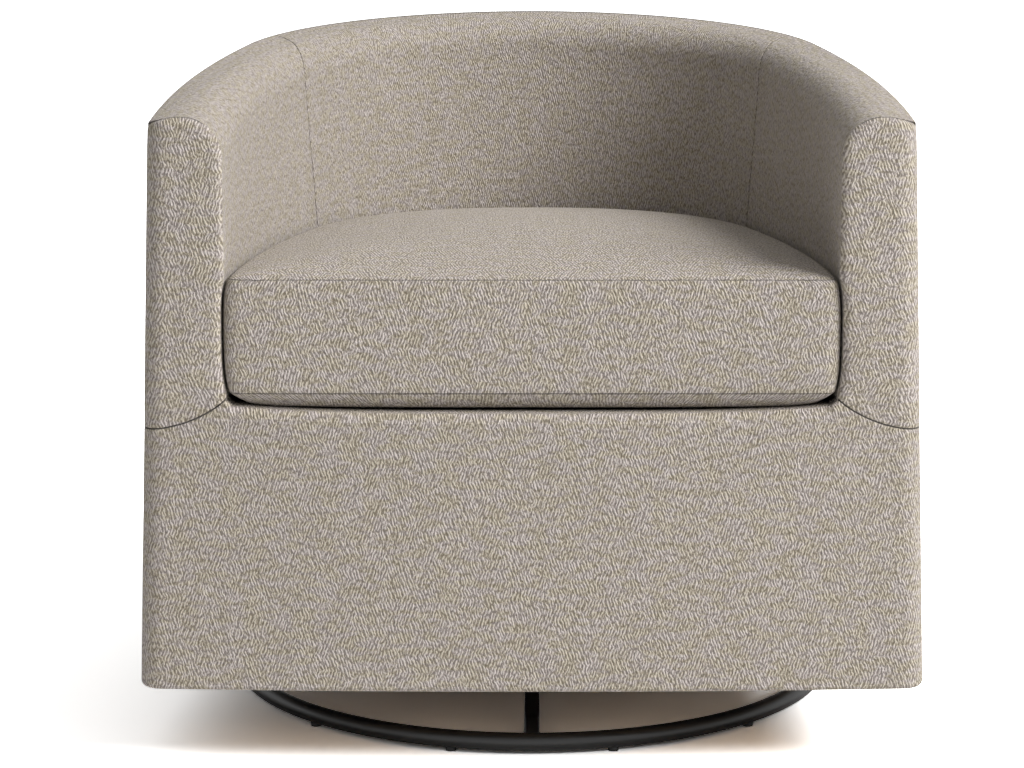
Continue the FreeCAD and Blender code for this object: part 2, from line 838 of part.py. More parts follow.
def bracket():
    """Right-hand bracket: web, foot, pivot holes, stop holes and a round relief."""
    x = bracket_face - bracket_thickness
    foot = bar(x - bracket_foot_width, x + cut_past, -swivel_plate_half_length, swivel_plate_half_length,
               swivel_plate_top, swivel_plate_top + bracket_thickness)
    solid = fused([bracket_outline(x), foot])
    x0, x1 = x - cut_past, bracket_face + cut_past
    holes = [rod(bracket_hole_radius, x0, x1, 0, (swivel_plate_top + bracket_web_top()) / 2)]
    holes += [rod(pin_radius, x0, x1, side * pivot_half_spacing, upper_pivot_height) for side in (-1, 1)]
    holes += [rod(bumper_stem_radius, x0, x1, y, z) for y, z in bumper_places()]
    holes += [post(bracket_bolt_radius, 0, FAR, bx, by) for bx, by in bracket_bolt_places()]
    return solid.cut(holes[0].fuse(holes[1:]))


def swivel_plate():
    y = swivel_plate_half_length
    plate = bar(-bracket_face, bracket_face, -y, y, bearing_top, swivel_plate_top)
    corners = [edge for edge in plate.Edges if edge.BoundBox.ZLength > swivel_plate_thickness / 2]
    plate = plate.makeFillet(corner_radius, corners)
    holes = [post(kingpin_radius, 0, FAR)]
    for x, by in bracket_bolt_places():
        holes += [post(bracket_bolt_radius, 0, FAR, x, by), post(bracket_bolt_radius, 0, FAR, -x, by)]
    return plate.cut(holes[0].fuse(holes[1:]))


def bracket_bolts():
    solids = []
    for x, y in bracket_bolt_places():
        top = swivel_plate_top + bracket_thickness
        shank = post(bracket_bolt_radius, bearing_top, top + cut_past, x, y)
        head = post(mount_bolt_head_radius, top, top + mount_bolt_head_height, x, y)
        solids.append(fused([shank, head]))
    return both_sides(solids)


def upper_pin(y):
    """Headed on the inside of the bracket, with a riveted collar outside the link."""
    x = bracket_face - bracket_thickness
    end = link_outer + bush_proud + seat_clearance
    z = upper_pivot_height
    return fused([rod(pin_radius, x - pin_head_thickness, end + pin_collar_thickness, y, z),
                  rod(pin_head_radius, x - pin_head_thickness, x, y, z),
                  rod(pin_collar_radius, end, end + pin_collar_thickness, y, z)])


def lower_pin(y):
    """Headed on the outside of the rail, with a riveted collar inside the link."""
    end = link_inner - bush_proud - seat_clearance
    z = lower_pivot_height
    outside = rail_face + rail_thickness
    return fused([rod(pin_radius, end - pin_collar_thickness, outside + pin_head_thickness, y, z),
                  rod(pin_head_radius, outside, outside + pin_head_thickness, y, z),
                  rod(pin_collar_radius, end - pin_collar_thickness, end, y, z)])


def spacer(x0, x1, y, z):
    return rod(bush_radius, x0, x1, y, z).cut(rod(pin_radius, x0 - cut_past, x1 + cut_past, y, z))


def bumper(y, z):
    """Rubber stop with a stem through the bracket."""
    x = bracket_face
    return fused([rod(bumper_radius, x, link_outer, y, z),
                  rod(bumper_stem_radius, x - bracket_thickness, x + cut_past, y, z)])


def build_swivel_frame():
    save("upper_race", race(hub_top + race_thickness + race_gap))
    save("swivel_plate", swivel_plate())
    save("kingpin", kingpin())
    under = hub_top - hub_height - seat_clearance
    hole = post(kingpin_radius, 0, FAR)
    save("kingpin_washer", post(washer_radius, under - washer_thickness, under).cut(hole))
    save("kingpin_nut", hexagon(nut_radius, under - washer_thickness - nut_height, nut_height).cut(hole))
    save("bracket_right", bracket())
    save("bracket_left", mirrored(bracket()))
    save("bracket_bolts", bracket_bolts())
    sides = (-pivot_half_spacing, pivot_half_spacing)
    save("upper_pivot_pins", both_sides([upper_pin(y) for y in sides]))
    end = link_inner - bush_proud - seat_clearance
    save("upper_spacers", both_sides([spacer(bracket_face, end, y, upper_pivot_height) for y in sides]))
    save("glide_bumpers", both_sides([bumper(y, z) for y, z in bumper_places()]))


def link(y):
    """Flat bar with round eyes on two pivots."""
    ends = (upper_pivot_height, lower_pivot_height)
    blank = [bar(link_inner, link_outer, y - link_half_width, y + link_half_width, ends[1], ends[0])]
    blank += [rod(link_end_radius, link_inner, link_outer, y, z) for z in ends]
    holes = [rod(bush_radius, link_inner - cut_past, link_outer + cut_past, y, z) for z in ends]
    return fused(blank).cut(holes[0].fuse(holes[1:]))


def link_bushes(y):
    bushes = []
    for z in (upper_pivot_height, lower_pivot_height):
        x0, x1 = link_inner - bush_proud, link_outer + bush_proud
        bore = rod(pin_radius + running_clearance, x0 - cut_past, x1 + cut_past, y, z)
        bushes.append(rod(bush_radius, x0, x1, y, z).cut(bore))
    return group(bushes)


def build_links():
    for place, y in (("front", -pivot_half_spacing), ("rear", pivot_half_spacing)):
        save("link_" + place + "_right", link(y))
        save("link_" + place + "_left", mirrored(link(y)))
        save("bushes_" + place + "_right", link_bushes(y))
        save("bushes_" + place + "_left", mirrored(link_bushes(y)))


def mount_bolt_places():
    return [(mount_bolt_x, side * mount_bolt_spread()) for side in (-1, 1)]


def mount_bolt_spread():
    """The bolts and the timber rails stand over the link pivots, a little further out."""
    return pivot_half_spacing + mount_bolt_offset


def glide_rail():
    """Right-hand moving rail: flanged top strip with two legs down to the lower pivots."""
    x, outside = rail_face, rail_face + rail_thickness
    top = rail_flange_bottom + rail_thickness
    pieces = [bar(x, x + rail_flange_width, -rail_half_length, rail_half_length, rail_flange_bottom, top),
              bar(x, outside, -rail_half_length, rail_half_length, top - rail_web_height, top)]
    for side in (-1, 1):
        y = side * pivot_half_spacing
        pieces.append(bar(x, outside, y - rail_leg_radius, y + rail_leg_radius, lower_pivot_height, top))
        pieces.append(rod(rail_leg_radius, x, outside, y, lower_pivot_height))
    holes = [rod(pin_radius, x - cut_past, outside + cut_past, side * pivot_half_spacing, lower_pivot_height)
             for side in (-1, 1)]
    holes += [post(mount_bolt_radius, 0, FAR, bx, by) for bx, by in mount_bolt_places()]
    return fused(pieces).cut(holes[0].fuse(holes[1:]))


def cross_rail(side):
    """Hardwood rail under the platform, cut to the ribs at both ends, bored for the bolts and tee nuts."""
    y = side * mount_bolt_spread()
    half = cross_rail_width / 2
    solid = bar(-FAR, FAR, y - half, y + half, cross_rail_bottom, cross_rail_top)
    solid = solid.common(layer(lower_rib_reach + cross_rail_end_gap, cross_rail_bottom, cross_rail_top))
    holes = []
    for x in (-mount_bolt_x, mount_bolt_x):
        holes.append(post(mount_bolt_radius, 0, FAR, x, y))
        holes.append(post(tee_nut_barrel_radius, cross_rail_top - tee_nut_barrel_length, FAR, x, y))
        holes.append(post(tee_nut_flange_radius, cross_rail_top - tee_nut_flange_thickness, FAR, x, y))
    return solid.cut(holes[0].fuse(holes[1:]))


def mount_bolt(x, y):
    top = cross_rail_top - tee_nut_flange_thickness
    shank = post(mount_bolt_radius, rail_flange_bottom - cut_past, top, x, y)
    head = post(mount_bolt_head_radius, rail_flange_bottom - mount_bolt_head_height, rail_flange_bottom, x, y)
    return fused([shank, head])


def tee_nut(x, y):
    low = cross_rail_top - tee_nut_barrel_length
    barrel = post(tee_nut_barrel_radius, low, cross_rail_top, x, y)
    flange = post(tee_nut_flange_radius, cross_rail_top - tee_nut_flange_thickness, cross_rail_top, x, y)
    return fused([barrel, flange]).cut(post(mount_bolt_radius, low - cut_past, FAR, x, y))


def build_rails():
    save("glide_rail_right", glide_rail())
    save("glide_rail_left", mirrored(glide_rail()))
    sides = (-pivot_half_spacing, pivot_half_spacing)
    save("lower_pivot_pins", both_sides([lower_pin(y) for y in sides]))
    start = link_outer + bush_proud + seat_clearance
    save("lower_spacers", both_sides([spacer(start, rail_face, y, lower_pivot_height) for y in sides]))
    save("cross_rail_front", cross_rail(-1))
    save("cross_rail_rear", cross_rail(1))
    save("mounting_bolts", both_sides([mount_bolt(x, y) for x, y in mount_bolt_places()]))
    save("tee_nuts", both_sides([tee_nut(x, y) for x, y in mount_bolt_places()]))


os.makedirs("parts", exist_ok=True)
build_base()
build_swivel_frame()
build_links()
build_rails()
build_frame()
build_seat()
build_upholstery()
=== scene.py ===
import json
import math

import bpy
import numpy as np
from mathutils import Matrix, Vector

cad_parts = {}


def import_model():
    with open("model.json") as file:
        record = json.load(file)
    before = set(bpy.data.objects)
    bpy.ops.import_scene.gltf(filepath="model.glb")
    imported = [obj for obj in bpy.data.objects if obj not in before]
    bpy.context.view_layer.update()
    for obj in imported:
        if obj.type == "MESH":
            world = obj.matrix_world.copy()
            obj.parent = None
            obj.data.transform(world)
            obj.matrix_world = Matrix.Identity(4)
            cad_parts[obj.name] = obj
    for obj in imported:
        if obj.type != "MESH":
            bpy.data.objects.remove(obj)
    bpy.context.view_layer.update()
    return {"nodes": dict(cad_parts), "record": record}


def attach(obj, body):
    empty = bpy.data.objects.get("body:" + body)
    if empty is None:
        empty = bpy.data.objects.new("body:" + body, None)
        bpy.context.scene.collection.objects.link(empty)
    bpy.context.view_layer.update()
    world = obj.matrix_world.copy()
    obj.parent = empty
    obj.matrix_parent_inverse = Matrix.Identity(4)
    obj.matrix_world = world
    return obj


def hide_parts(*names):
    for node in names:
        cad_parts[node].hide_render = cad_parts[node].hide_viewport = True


# Barrel swivel glider chair: woven upholstery over the CAD frame. Metres, in the CAD frame.

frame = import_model()
nodes = frame["nodes"]

# Body of the tub
Y_FRONT = -0.388
ARM_HALF_WIDTH = 0.3712
SIDE_FLARE = 0.0222
BODY_BACK = 0.3658
BACK_RADIUS = 0.325
SKIRT_HEIGHT = 0.084
RIM_FRONT = 0.6475
RIM_BACK = 0.7115
RIM_BULGE = 0.0035
BODY_DEPTH = 0.776
FRONT_BOW = 0.010
CORNER_RADIUS = 0.022
FRONT_PLANE = Y_FRONT + FRONT_BOW + CORNER_RADIUS

# The rim's bulge lies towards the front: share * (1 - share) ** 2 is 4 / 27 at its highest
BULGE_PEAK = 4 / 27

# Rolled rim: arm end and back, as (crown in, crown rise, width, drop, rise of the outer edge in shares)
ARM_ROLL = (0.036, 0.0065, 0.073, 0.034, 0.66)
BACK_ROLL = (0.022, -0.0035, 0.060, 0.042, 0.26)
ROLL_EDGE = 0.4
ROLL_POINTS = 24
ARM_FRONT_ROUND = 0.0075
ARM_FRONT_SWELL = 0.0015
ARM_FRONT_SWELL_WIDTH = 0.03
ARM_SEAM_GAP = 0.0003
ARM_SEAM_ROLL = 0.002
ARM_SEAM_POINTS = 30

# Inside of the tub and its two upright seams, which lean from the rim to the seat
INSIDE_HALF_WIDTH = 0.300
INSIDE_BACK = 0.257
INSIDE_RADIUS = 0.255
INSIDE_FOOT = 0.335
INSIDE_LENGTH = 0.40
INSIDE_MIDDLE = (0.0, -0.1, 0.75)
PAD_REACH = 0.3
FACE_POINTS = 60
SEAM_ANGLE_RIM = 25.0
SEAM_ANGLE_SEAT = 16.0
SEAM_ROLL_LENGTH = 0.085
OUTSIDE_SEAM_ANGLE = 22.0
OUTSIDE_MIDDLE = (0.0, 0.0, 0.4)

# Front
FRONT_TOP = 0.370
LIP_RADIUS = 0.009
LIP_SAG = 0.0030
LIP_RISE = 0.0070
LIP_BLEND = 0.011
LIP_END_INSET = 0.004
LIP_END_WIDTH = 0.006
LIP_BACK = (0.004, 0.012, 0.022)
WEAVE_HEIGHT = 0.2
ARM_SEAM_HEIGHT = 0.350
ARM_SEAM_RISE = 0.031
HEM_RADIUS = 0.006
HEM_TURN = 0.040
TURN_POINTS = 7

# Cushion, measured from the pitched deck
SEAT_PITCH = math.radians(1.5)
CUSHION_HALF_WIDTH = 0.2982
CUSHION_FRONT = -0.024
CUSHION_BACK = 0.6105
CUSHION_BACK_RADIUS = 0.2522
CUSHION_CORNER = 0.009
CUSHION_LOW_SEAM = 0.016
CUSHION_TOP_SEAM = 0.129
CUSHION_CROWN = 0.147
CUSHION_SOLE_INSET = 0.018
CUSHION_RINGS = 36
CUSHION_BAND_ROWS = 14
CUSHION_SIDE_POINTS = 240
CUSHION_CORNER_POINTS = 24
CUSHION_TOP_SWELL = 0.008
CUSHION_FRONT_SWELL = 0.005
CUSHION_SIDE_SWELL = 0.0012
CUSHION_SIDE_BOW = 0.0044
LOW_SEAM_CREASE = 0.8
SWELL_FRAMES = 20
CUSHION_SOLE_GAP = 0.0008
CUSHION_SOLE_FRONT = 0.004

# Cloth
CLOTH_THICKNESS = 0.004
SEAM_WIDTH = 0.0030
SEAM_DEPTH = 0.0016
SEAM_FADE = 0.055
SEAM_INNER = 0.018
SEAM_STEPS = (0.0, 0.0002, 0.0006, 0.0012, 0.0020, 0.0030, 0.0045)
SEAM_ZONE = 0.007
MESH_STEP = 0.006
STATION_MARGIN = 0.02
ARM_FRONT_STEP = 0.004
ARM_FRONT_ROW = 0.005
ARM_FRONT_HEIGHT = 0.30
NO_SEAM = 0.05
TINY = 1e-9

# Linings
DECK_CLEARANCE = 0.0015
DECK_FRONT = 0.0005
DUST_COVER_HEIGHT = 0.2936
DUST_COVER_FRONT = -0.3375
FRAME_FACE = 0.0065
SHEET_TIP = 0.004
SHEET_ROWS = 60
SHEET_COLUMNS = 41

# Weave, in metres or in counts to the metre
RIB_SPACING = 0.0032
STROKE_LEAN = 0.33
STROKE_LENGTH = 0.0115
PATCHES_ACROSS = 34.0
PATCHES_UP = 50.0
GRAIN_ACROSS = 640.0
GRAIN_UP = 290.0
SLUBS_ACROSS = 42.0
SLUBS_UP = 130.0
WANDERS = 180.0
WANDER_SIZE = 0.0034
WEAVE_DEPTH = 0.0011
SEAM_LINE = 0.0008
# Ground and stroke colours: the pale raised strokes against the darker ground are partly the yarn's own tones
# and partly painted relief shade and highlight
GROUND_WARM = (0.185, 0.156, 0.112, 1)
GROUND_COOL = (0.200, 0.172, 0.155, 1)
PALE_WARM = (0.555, 0.495, 0.405, 1)
PALE_COOL = (0.585, 0.525, 0.495, 1)
# Painted shade for the seams' grooves, laid into the fabric's colour
PAINTED_SEAM_SHADE = (0.030, 0.025, 0.020, 1)

# Unrelated strokes: what sets one rib and one stroke apart from the next
RIB_SHIFT = 7.0
RIB_MARK = 17.13
STROKE_MARK = 3.71
BOLD_MARK = 0.37

# Camera, light and floor
CAMERA_PLACE = (0.0, -3.22, 0.9464)
CAMERA_TILT = 79.04
CAMERA_LENS = 103.87
CAMERA_SENSOR = 36
PHOTO_WIDTH = 1024
CHAIR_CENTRE_PX = 532
FLOOR_HALF = 40.0
FLOOR_WHITE = 3.0
HORIZON_LIGHT = 0.08
ZENITH_LIGHT = 0.57
KEY_PLACE = (7.6, -3.9, 7.7)
KEY_TARGET = (0.0, 0.0, 0.4)
KEY_SIZE = 7.0
KEY_POWER = 1800
FILL_PLACE = (0.0, -3.0, 0.12)
FILL_TARGET = (0.0, 0.0, 0.12)
FILL_WIDTH = 2.5
FILL_HEIGHT = 0.2
FILL_POWER = 3


class Barrel:
    """U-shaped plan curve, walked by its length from the middle of the back, positive to the right."""

    def __init__(self, half_width, front, back, radius):
        reach = back - radius - front
        self.front, self.radius = front, radius
        self.side_radius = (half_width ** 2 + reach ** 2 - radius ** 2) / (2 * (half_width - radius))
        self.centre_y = back - radius
        self.side_x0 = half_width - self.side_radius
        self.turn = math.atan2(reach, self.side_radius - half_width)
        self.back_half = radius * (math.pi / 2 - self.turn)

    def length_to(self, y):
        """Length from the middle of the back to a place on the side."""
        angle = math.asin((y - self.front) / self.side_radius)
        return self.back_half + self.side_radius * (self.turn - angle)

    def at_angle(self, degrees):
        """Length to a place on the back arc, its angle counted from the +X axis."""
        return self.radius * (math.pi / 2 - math.radians(degrees))

    def at(self, length):
        """Point and outward direction in plan; straight on past the front."""
        side = math.copysign(1, length)
        along = abs(length)
        if along <= self.back_half:
            angle = math.pi / 2 - along / self.radius
            point = (self.radius * math.cos(angle), self.centre_y + self.radius * math.sin(angle))
        else:
            angle = self.turn - (along - self.back_half) / self.side_radius
            point = (self.side_x0 + self.side_radius * math.cos(angle),
                     self.front + self.side_radius * math.sin(angle))
        return np.array((side * point[0], point[1])), np.array((side * math.cos(angle), math.sin(angle)))

    def distance(self, x, y):
        """How far a point lies outside the curve, negative inside."""
        if math.atan2(y - self.centre_y, abs(x)) >= self.turn:
            return math.hypot(x, y - self.centre_y) - self.radius
        return math.hypot(abs(x) - self.side_x0, y - self.front) - self.side_radius


body = Barrel(ARM_HALF_WIDTH, Y_FRONT, BODY_BACK, BACK_RADIUS)
inside = Barrel(INSIDE_HALF_WIDTH, Y_FRONT, INSIDE_BACK, INSIDE_RADIUS)
front_end = body.length_to(FRONT_PLANE)
front_half_width = body.at(front_end)[0][0]
outside_seam = body.at_angle(OUTSIDE_SEAM_ANGLE)


def mix(first, second, share):
    return first + (second - first) * share


def smooth(share):
    share = np.clip(share, 0.0, 1.0)
    return share * share * (3 - 2 * share)


def flare_at(z):
    return SIDE_FLARE * (RIM_BACK - z) / (RIM_BACK - SKIRT_HEIGHT)


def rim_height(y):
    share = (y - Y_FRONT) / BODY_DEPTH
    return mix(RIM_FRONT, RIM_BACK, share) + RIM_BULGE / BULGE_PEAK * share * (1 - share) ** 2


def steps(length, step=MESH_STEP):
    """Places along a length, close together near both ends so that seams stay crisp."""
    fine = np.array(SEAM_STEPS)
    middle = np.linspace(SEAM_ZONE, length - SEAM_ZONE, max(3, int(length / step)))
    return np.concatenate([fine, middle, length - fine[::-1]])


def edge_drop(distance, width=SEAM_WIDTH, depth=SEAM_DEPTH):
    """How far a padded surface has turned in at a distance from its seam."""
    share = np.clip((width - distance) / width, 0.0, 1.0)
    return depth * (1 - np.sqrt(1 - share * share))


def arc_points(start, middle, end, count):
    """Points on the circle through three plane points."""
    (ax, ay), (bx, by), (cx, cy) = start, middle, end
    a, b, c = ax * ax + ay * ay, bx * bx + by * by, cx * cx + cy * cy
    twice = 2 * (ax * (by - cy) + bx * (cy - ay) + cx * (ay - by))
    ux = (a * (by - cy) + b * (cy - ay) + c * (ay - by)) / twice
    uy = (a * (cx - bx) + b * (ax - cx) + c * (bx - ax)) / twice
    radius = math.hypot(ax - ux, ay - uy)
    first, last = math.atan2(ay - uy, ax - ux), math.atan2(cy - uy, cx - ux)
    if last > first:
        last -= 2 * math.pi
    angles = np.linspace(first, last, count)
    return np.stack([ux + radius * np.cos(angles), uy + radius * np.sin(angles)], 1)


def bend_points(start, middle, end, count):
    """Points on the gentle curve through three plane points."""
    start, middle, end = (np.array(point) for point in (start, middle, end))
    first = np.linalg.norm(middle - start)
    bend = first / (first + np.linalg.norm(end - middle))
    t = np.linspace(0, 1, count)[:, None]
    at_start = (t - bend) * (t - 1) / bend
    at_middle = t * (t - 1) / (bend * (bend - 1))
    at_end = t * (t - bend) / (1 - bend)
    return at_start * start + at_middle * middle + at_end * end


def roll_profile(share):
    """Rolled top from the outer seam over the crown to the inner face, as (depth, height) points."""
    crown_in, rise, width, drop, edge_rise = (mix(a, b, share) for a, b in zip(ARM_ROLL, BACK_ROLL))
    bulge = math.sqrt(0.5)
    shoulder = (crown_in + (width - crown_in) * bulge, rise - (rise + drop) * (1 - bulge))
    edge = (crown_in * ROLL_EDGE, rise * edge_rise)
    outer = bend_points((0.0, 0.0), edge, (crown_in, rise), ROLL_POINTS)
    inner = arc_points((crown_in, rise), shoulder, (width, -drop), ROLL_POINTS)
    return np.concatenate([outer, inner[1:]])


def walk(points):
    """Length along a line of points."""
    return np.concatenate([[0.0], np.cumsum(np.linalg.norm(np.diff(points, axis=0), axis=1))])


def resample(points, places):
    along = walk(points)
    return np.stack([np.interp(places, along, points[:, k]) for k in range(points.shape[1])], 1)


def grid_normals(points):
    across = np.gradient(points, axis=0)
    along = np.gradient(points, axis=1)
    normal = np.cross(across, along)
    return normal / np.maximum(np.linalg.norm(normal, axis=2, keepdims=True), TINY)


def new_piece(name, vertices, faces):
    """Mesh object in the scene, in the chair's own frame."""
    mesh = bpy.data.meshes.new(name)
    mesh.from_pydata(vertices, [], faces)
    piece = bpy.data.objects.new(name, mesh)
    bpy.context.scene.collection.objects.link(piece)
    return piece


def lay_cloth(piece, weave, seam):
    """Smooth shading and two layers of coordinates: the weave's, and the way to the nearest seam."""
    mesh = piece.data
    for label, values in (("weave", weave), ("seam", seam)):
        layer = mesh.uv_layers.new(name=label)
        layer.data.foreach_set("uv", np.array(values, np.float32).ravel())
    mesh.polygons.foreach_set("use_smooth", [True] * len(mesh.polygons))


def cloth_panel(name, points, uv, seam, outward):
    """Grid of points as a thin padded cover, with its weave and the way to its nearest seam in metres."""
    rows, columns = points.shape[:2]
    if np.sum(grid_normals(points) * outward) < 0:
        points, uv, seam = points[:, ::-1], uv[:, ::-1], seam[:, ::-1]
    index = np.arange(rows * columns).reshape(rows, columns)
    faces = np.stack([index[:-1, :-1], index[1:, :-1], index[1:, 1:], index[:-1, 1:]], 2).reshape(-1, 4)
    piece = new_piece(name, points.reshape(-1, 3).tolist(), faces.tolist())
    near = np.stack([seam, 0 * seam], 2)
    lay_cloth(piece, uv.reshape(-1, 2)[faces.ravel()], near.reshape(-1, 2)[faces.ravel()])
    solid = piece.modifiers.new("thickness", "SOLIDIFY")
    solid.thickness = CLOTH_THICKNESS
    solid.offset = -1
    return piece


# Upholstery panels


def side_bow(level):
    """How far the cushion's side bows out, and the arm gives way, at a height over the deck."""
    share = np.clip((level - CUSHION_LOW_SEAM) / (CUSHION_TOP_SEAM - CUSHION_LOW_SEAM), 0.0, 1.0)
    return CUSHION_SIDE_BOW * (1 - (2 * share - 1) ** 4)


def over_deck(y, z):
    """Height of a place over the pitched deck."""
    return z - FRONT_TOP + (y - FRONT_PLANE) * math.sin(SEAT_PITCH)


def pad_profile(length, share):
    """Cross-section of the inside cover at a place on the rim, from its outer seam down to the seat."""
    base, out = body.at(math.copysign(min(abs(length), front_end), length))
    past = max(0.0, abs(length) - front_end)
    if past > 0:
        out = np.array((math.copysign(1, length), 0.0))
        base = base + np.array((0.0, -past))
    height = rim_height(max(base[1], FRONT_PLANE))
    seam = base + out * flare_at(height)
    near, far = 0.0, PAD_REACH
    nearly = 1e-5
    probe_y = max(seam[1], FRONT_PLANE)
    while far - near > nearly:
        half = (near + far) / 2
        outside = inside.distance(seam[0] - out[0] * half, probe_y - out[1] * half) > 0
        near, far = (half, far) if outside else (near, half)
    roll = roll_profile(share)
    down = np.linspace(0, 1, FACE_POINTS)[1:]
    levels = mix(roll[-1, 1], INSIDE_FOOT - height, down)
    give = side_bow(over_deck(seam[1] - out[1] * near, height + levels)) * abs(out[0])
    face = np.stack([mix(roll[-1, 0], near, down) - give, levels], 1)
    return seam, out, height, np.concatenate([roll, face])


def arm_share(length):
    """0 at the arm front, 1 where the back panel starts."""
    y = body.at(length)[0][1]
    end = body.at(outside_seam)[0][1]
    return float(smooth((y - FRONT_PLANE) / (end - FRONT_PLANE)))


def seam_length(down):
    """Where the upright inside seam lies on the rim line, by length down the cover from the rim."""
    angle = mix(SEAM_ANGLE_RIM, SEAM_ANGLE_SEAT, smooth(down / SEAM_ROLL_LENGTH))
    return BACK_RADIUS * (math.pi / 2 - np.radians(angle))


def front_y(x, z):
    """How far forward the front's plan line lies at a place across."""
    start = front_half_width + flare_at(z) - CORNER_RADIUS
    bend = np.clip((x - start) / CORNER_RADIUS, 0, 1)
    bow = FRONT_BOW * (np.minimum(x, start) / start) ** 2
    return Y_FRONT + bow + CORNER_RADIUS * (1 - np.sqrt(1 - bend ** 2))


def arm_end(down):
    """Where the inside cover meets the arm front, as a length on the rim line."""
    height = rim_height(FRONT_PLANE)
    roll = roll_profile(0.0)
    depth = np.interp(down, walk(roll), roll[:, 0])
    edge = front_y(front_half_width + flare_at(height) - depth, height) + ARM_FRONT_ROUND + ARM_SEAM_GAP
    return front_end + FRONT_PLANE - edge


def inside_cover(name, start, end, arm=0):
    """Cover over the rim and down the inside, between two lines that may lean: start(down) to end(down)."""
    down = steps(INSIDE_LENGTH)
    begin = np.array([float(start(depth)) for depth in down])
    finish = np.array([float(end(depth)) for depth in down])
    low, high = begin.min() - STATION_MARGIN, finish.max() + STATION_MARGIN
    stations = np.linspace(low, high, int((high - low) / MESH_STEP))
    surface = np.zeros((len(stations), len(down), 3))
    for i, length in enumerate(stations):
        share = arm_share(length) if abs(length) > outside_seam else 1.0
        seam, out, height, profile = pad_profile(length, share)
        line = resample(profile, down / down[-1] * walk(profile)[-1])
        surface[i, :, :2] = seam[None] - line[:, :1] * out[None]
        surface[i, :, 2] = height + line[:, 1]
    across = steps(finish[0] - begin[0])
    share = across / across[-1]
    points = np.zeros((len(across), len(down), 3))
    uv = np.zeros((len(across), len(down), 2))
    for j, depth in enumerate(down):
        places = mix(begin[j], finish[j], share)
        for k in range(3):
            points[:, j, k] = np.interp(places, stations, surface[:, j, k])
        uv[:, j, 0] = places
        uv[:, j, 1] = -depth
    outward = np.array(INSIDE_MIDDLE) - points
    normal = grid_normals(points)
    normal *= np.sign(np.sum(normal * outward))
    faint = smooth((down - SEAM_FADE) / SEAM_FADE)[None, :]
    first = across[:, None] + (faint * NO_SEAM if arm < 0 else 0 * faint)
    last = (across[-1] - across)[:, None] + (faint * NO_SEAM if arm > 0 else 0 * faint)
    edge = np.minimum(np.minimum(first, last), down[None, :])
    points = points - normal * edge_drop(edge)[:, :, None]
    return cloth_panel(name, points, uv, edge, outward)


def outside_cover(name, start, end):
    """Upright cover outside, from a turned-under hem to the rim's outer seam."""
    across = steps(end - start)
    turn = np.linspace(0, math.pi / 2, TURN_POINTS)
    rows = steps(RIM_BACK - SKIRT_HEIGHT - HEM_RADIUS)
    count = len(rows) + len(turn) + 1
    points = np.zeros((len(across), count, 3))
    uv = np.zeros((len(across), count, 2))
    seam = np.full((len(across), count), NO_SEAM)
    for i, step in enumerate(across):
        base, out = body.at(start + step)
        top = rim_height(base[1] + out[1] * SIDE_FLARE / 2)
        heights = SKIRT_HEIGHT + HEM_RADIUS + rows / rows[-1] * (top - SKIRT_HEIGHT - HEM_RADIUS)
        edge = np.minimum(top - heights, min(step, across[-1] - step))
        drop = edge_drop(edge)
        seam[i] = min(step, across[-1] - step)
        seam[i, -len(rows):] = edge
        face = flare_at(heights) - drop
        hem_out = flare_at(SKIRT_HEIGHT) - HEM_RADIUS * (1 - np.sin(turn))
        offsets = np.concatenate([[flare_at(SKIRT_HEIGHT) - HEM_TURN], hem_out, face])
        levels = np.concatenate([[SKIRT_HEIGHT], SKIRT_HEIGHT + HEM_RADIUS * (1 - np.cos(turn)), heights])
        points[i, :, :2] = base[None] + offsets[:, None] * out[None]
        points[i, :, 2] = levels
        uv[i, :, 0] = start + step
        uv[i, :, 1] = levels - np.maximum(0, flare_at(SKIRT_HEIGHT) - HEM_RADIUS - offsets)
    outward = points - np.array(OUTSIDE_MIDDLE)
    return cloth_panel(name, points, uv, seam, outward)


def front_line(z, places):
    """Bowed front and rounded corner in plan, as x and y at lengths walked from the middle."""
    start = front_half_width + flare_at(z) - CORNER_RADIUS
    corner = np.clip((places - start) / (CORNER_RADIUS * math.pi / 2), 0, 1) * math.pi / 2
    flat = np.clip(places, 0, start)
    x = flat + CORNER_RADIUS * np.sin(corner)
    y = Y_FRONT + FRONT_BOW * (flat / start) ** 2 + CORNER_RADIUS * (1 - np.cos(corner))
    return x, y


def front_reach(z):
    """Length from the middle of the front to the end of its corner."""
    return front_half_width + flare_at(z) - CORNER_RADIUS + CORNER_RADIUS * math.pi / 2


def arm_seam(x):
    """Height of the curved seam under the arm front."""
    centre = ARM_HALF_WIDTH + flare_at(ARM_SEAM_HEIGHT)
    reach = centre - INSIDE_HALF_WIDTH
    radius = (reach ** 2 + ARM_SEAM_RISE ** 2) / (2 * ARM_SEAM_RISE)
    back = np.clip(centre - x, 0, radius)
    return ARM_SEAM_HEIGHT + radius - np.sqrt(radius ** 2 - back ** 2)


def lip_rise(x):
    """How far the lip of the front stands above the deck: a little low in the middle, up to the arms."""
    return LIP_RISE * min(1.0, abs(x) / INSIDE_HALF_WIDTH) ** 4 - LIP_SAG


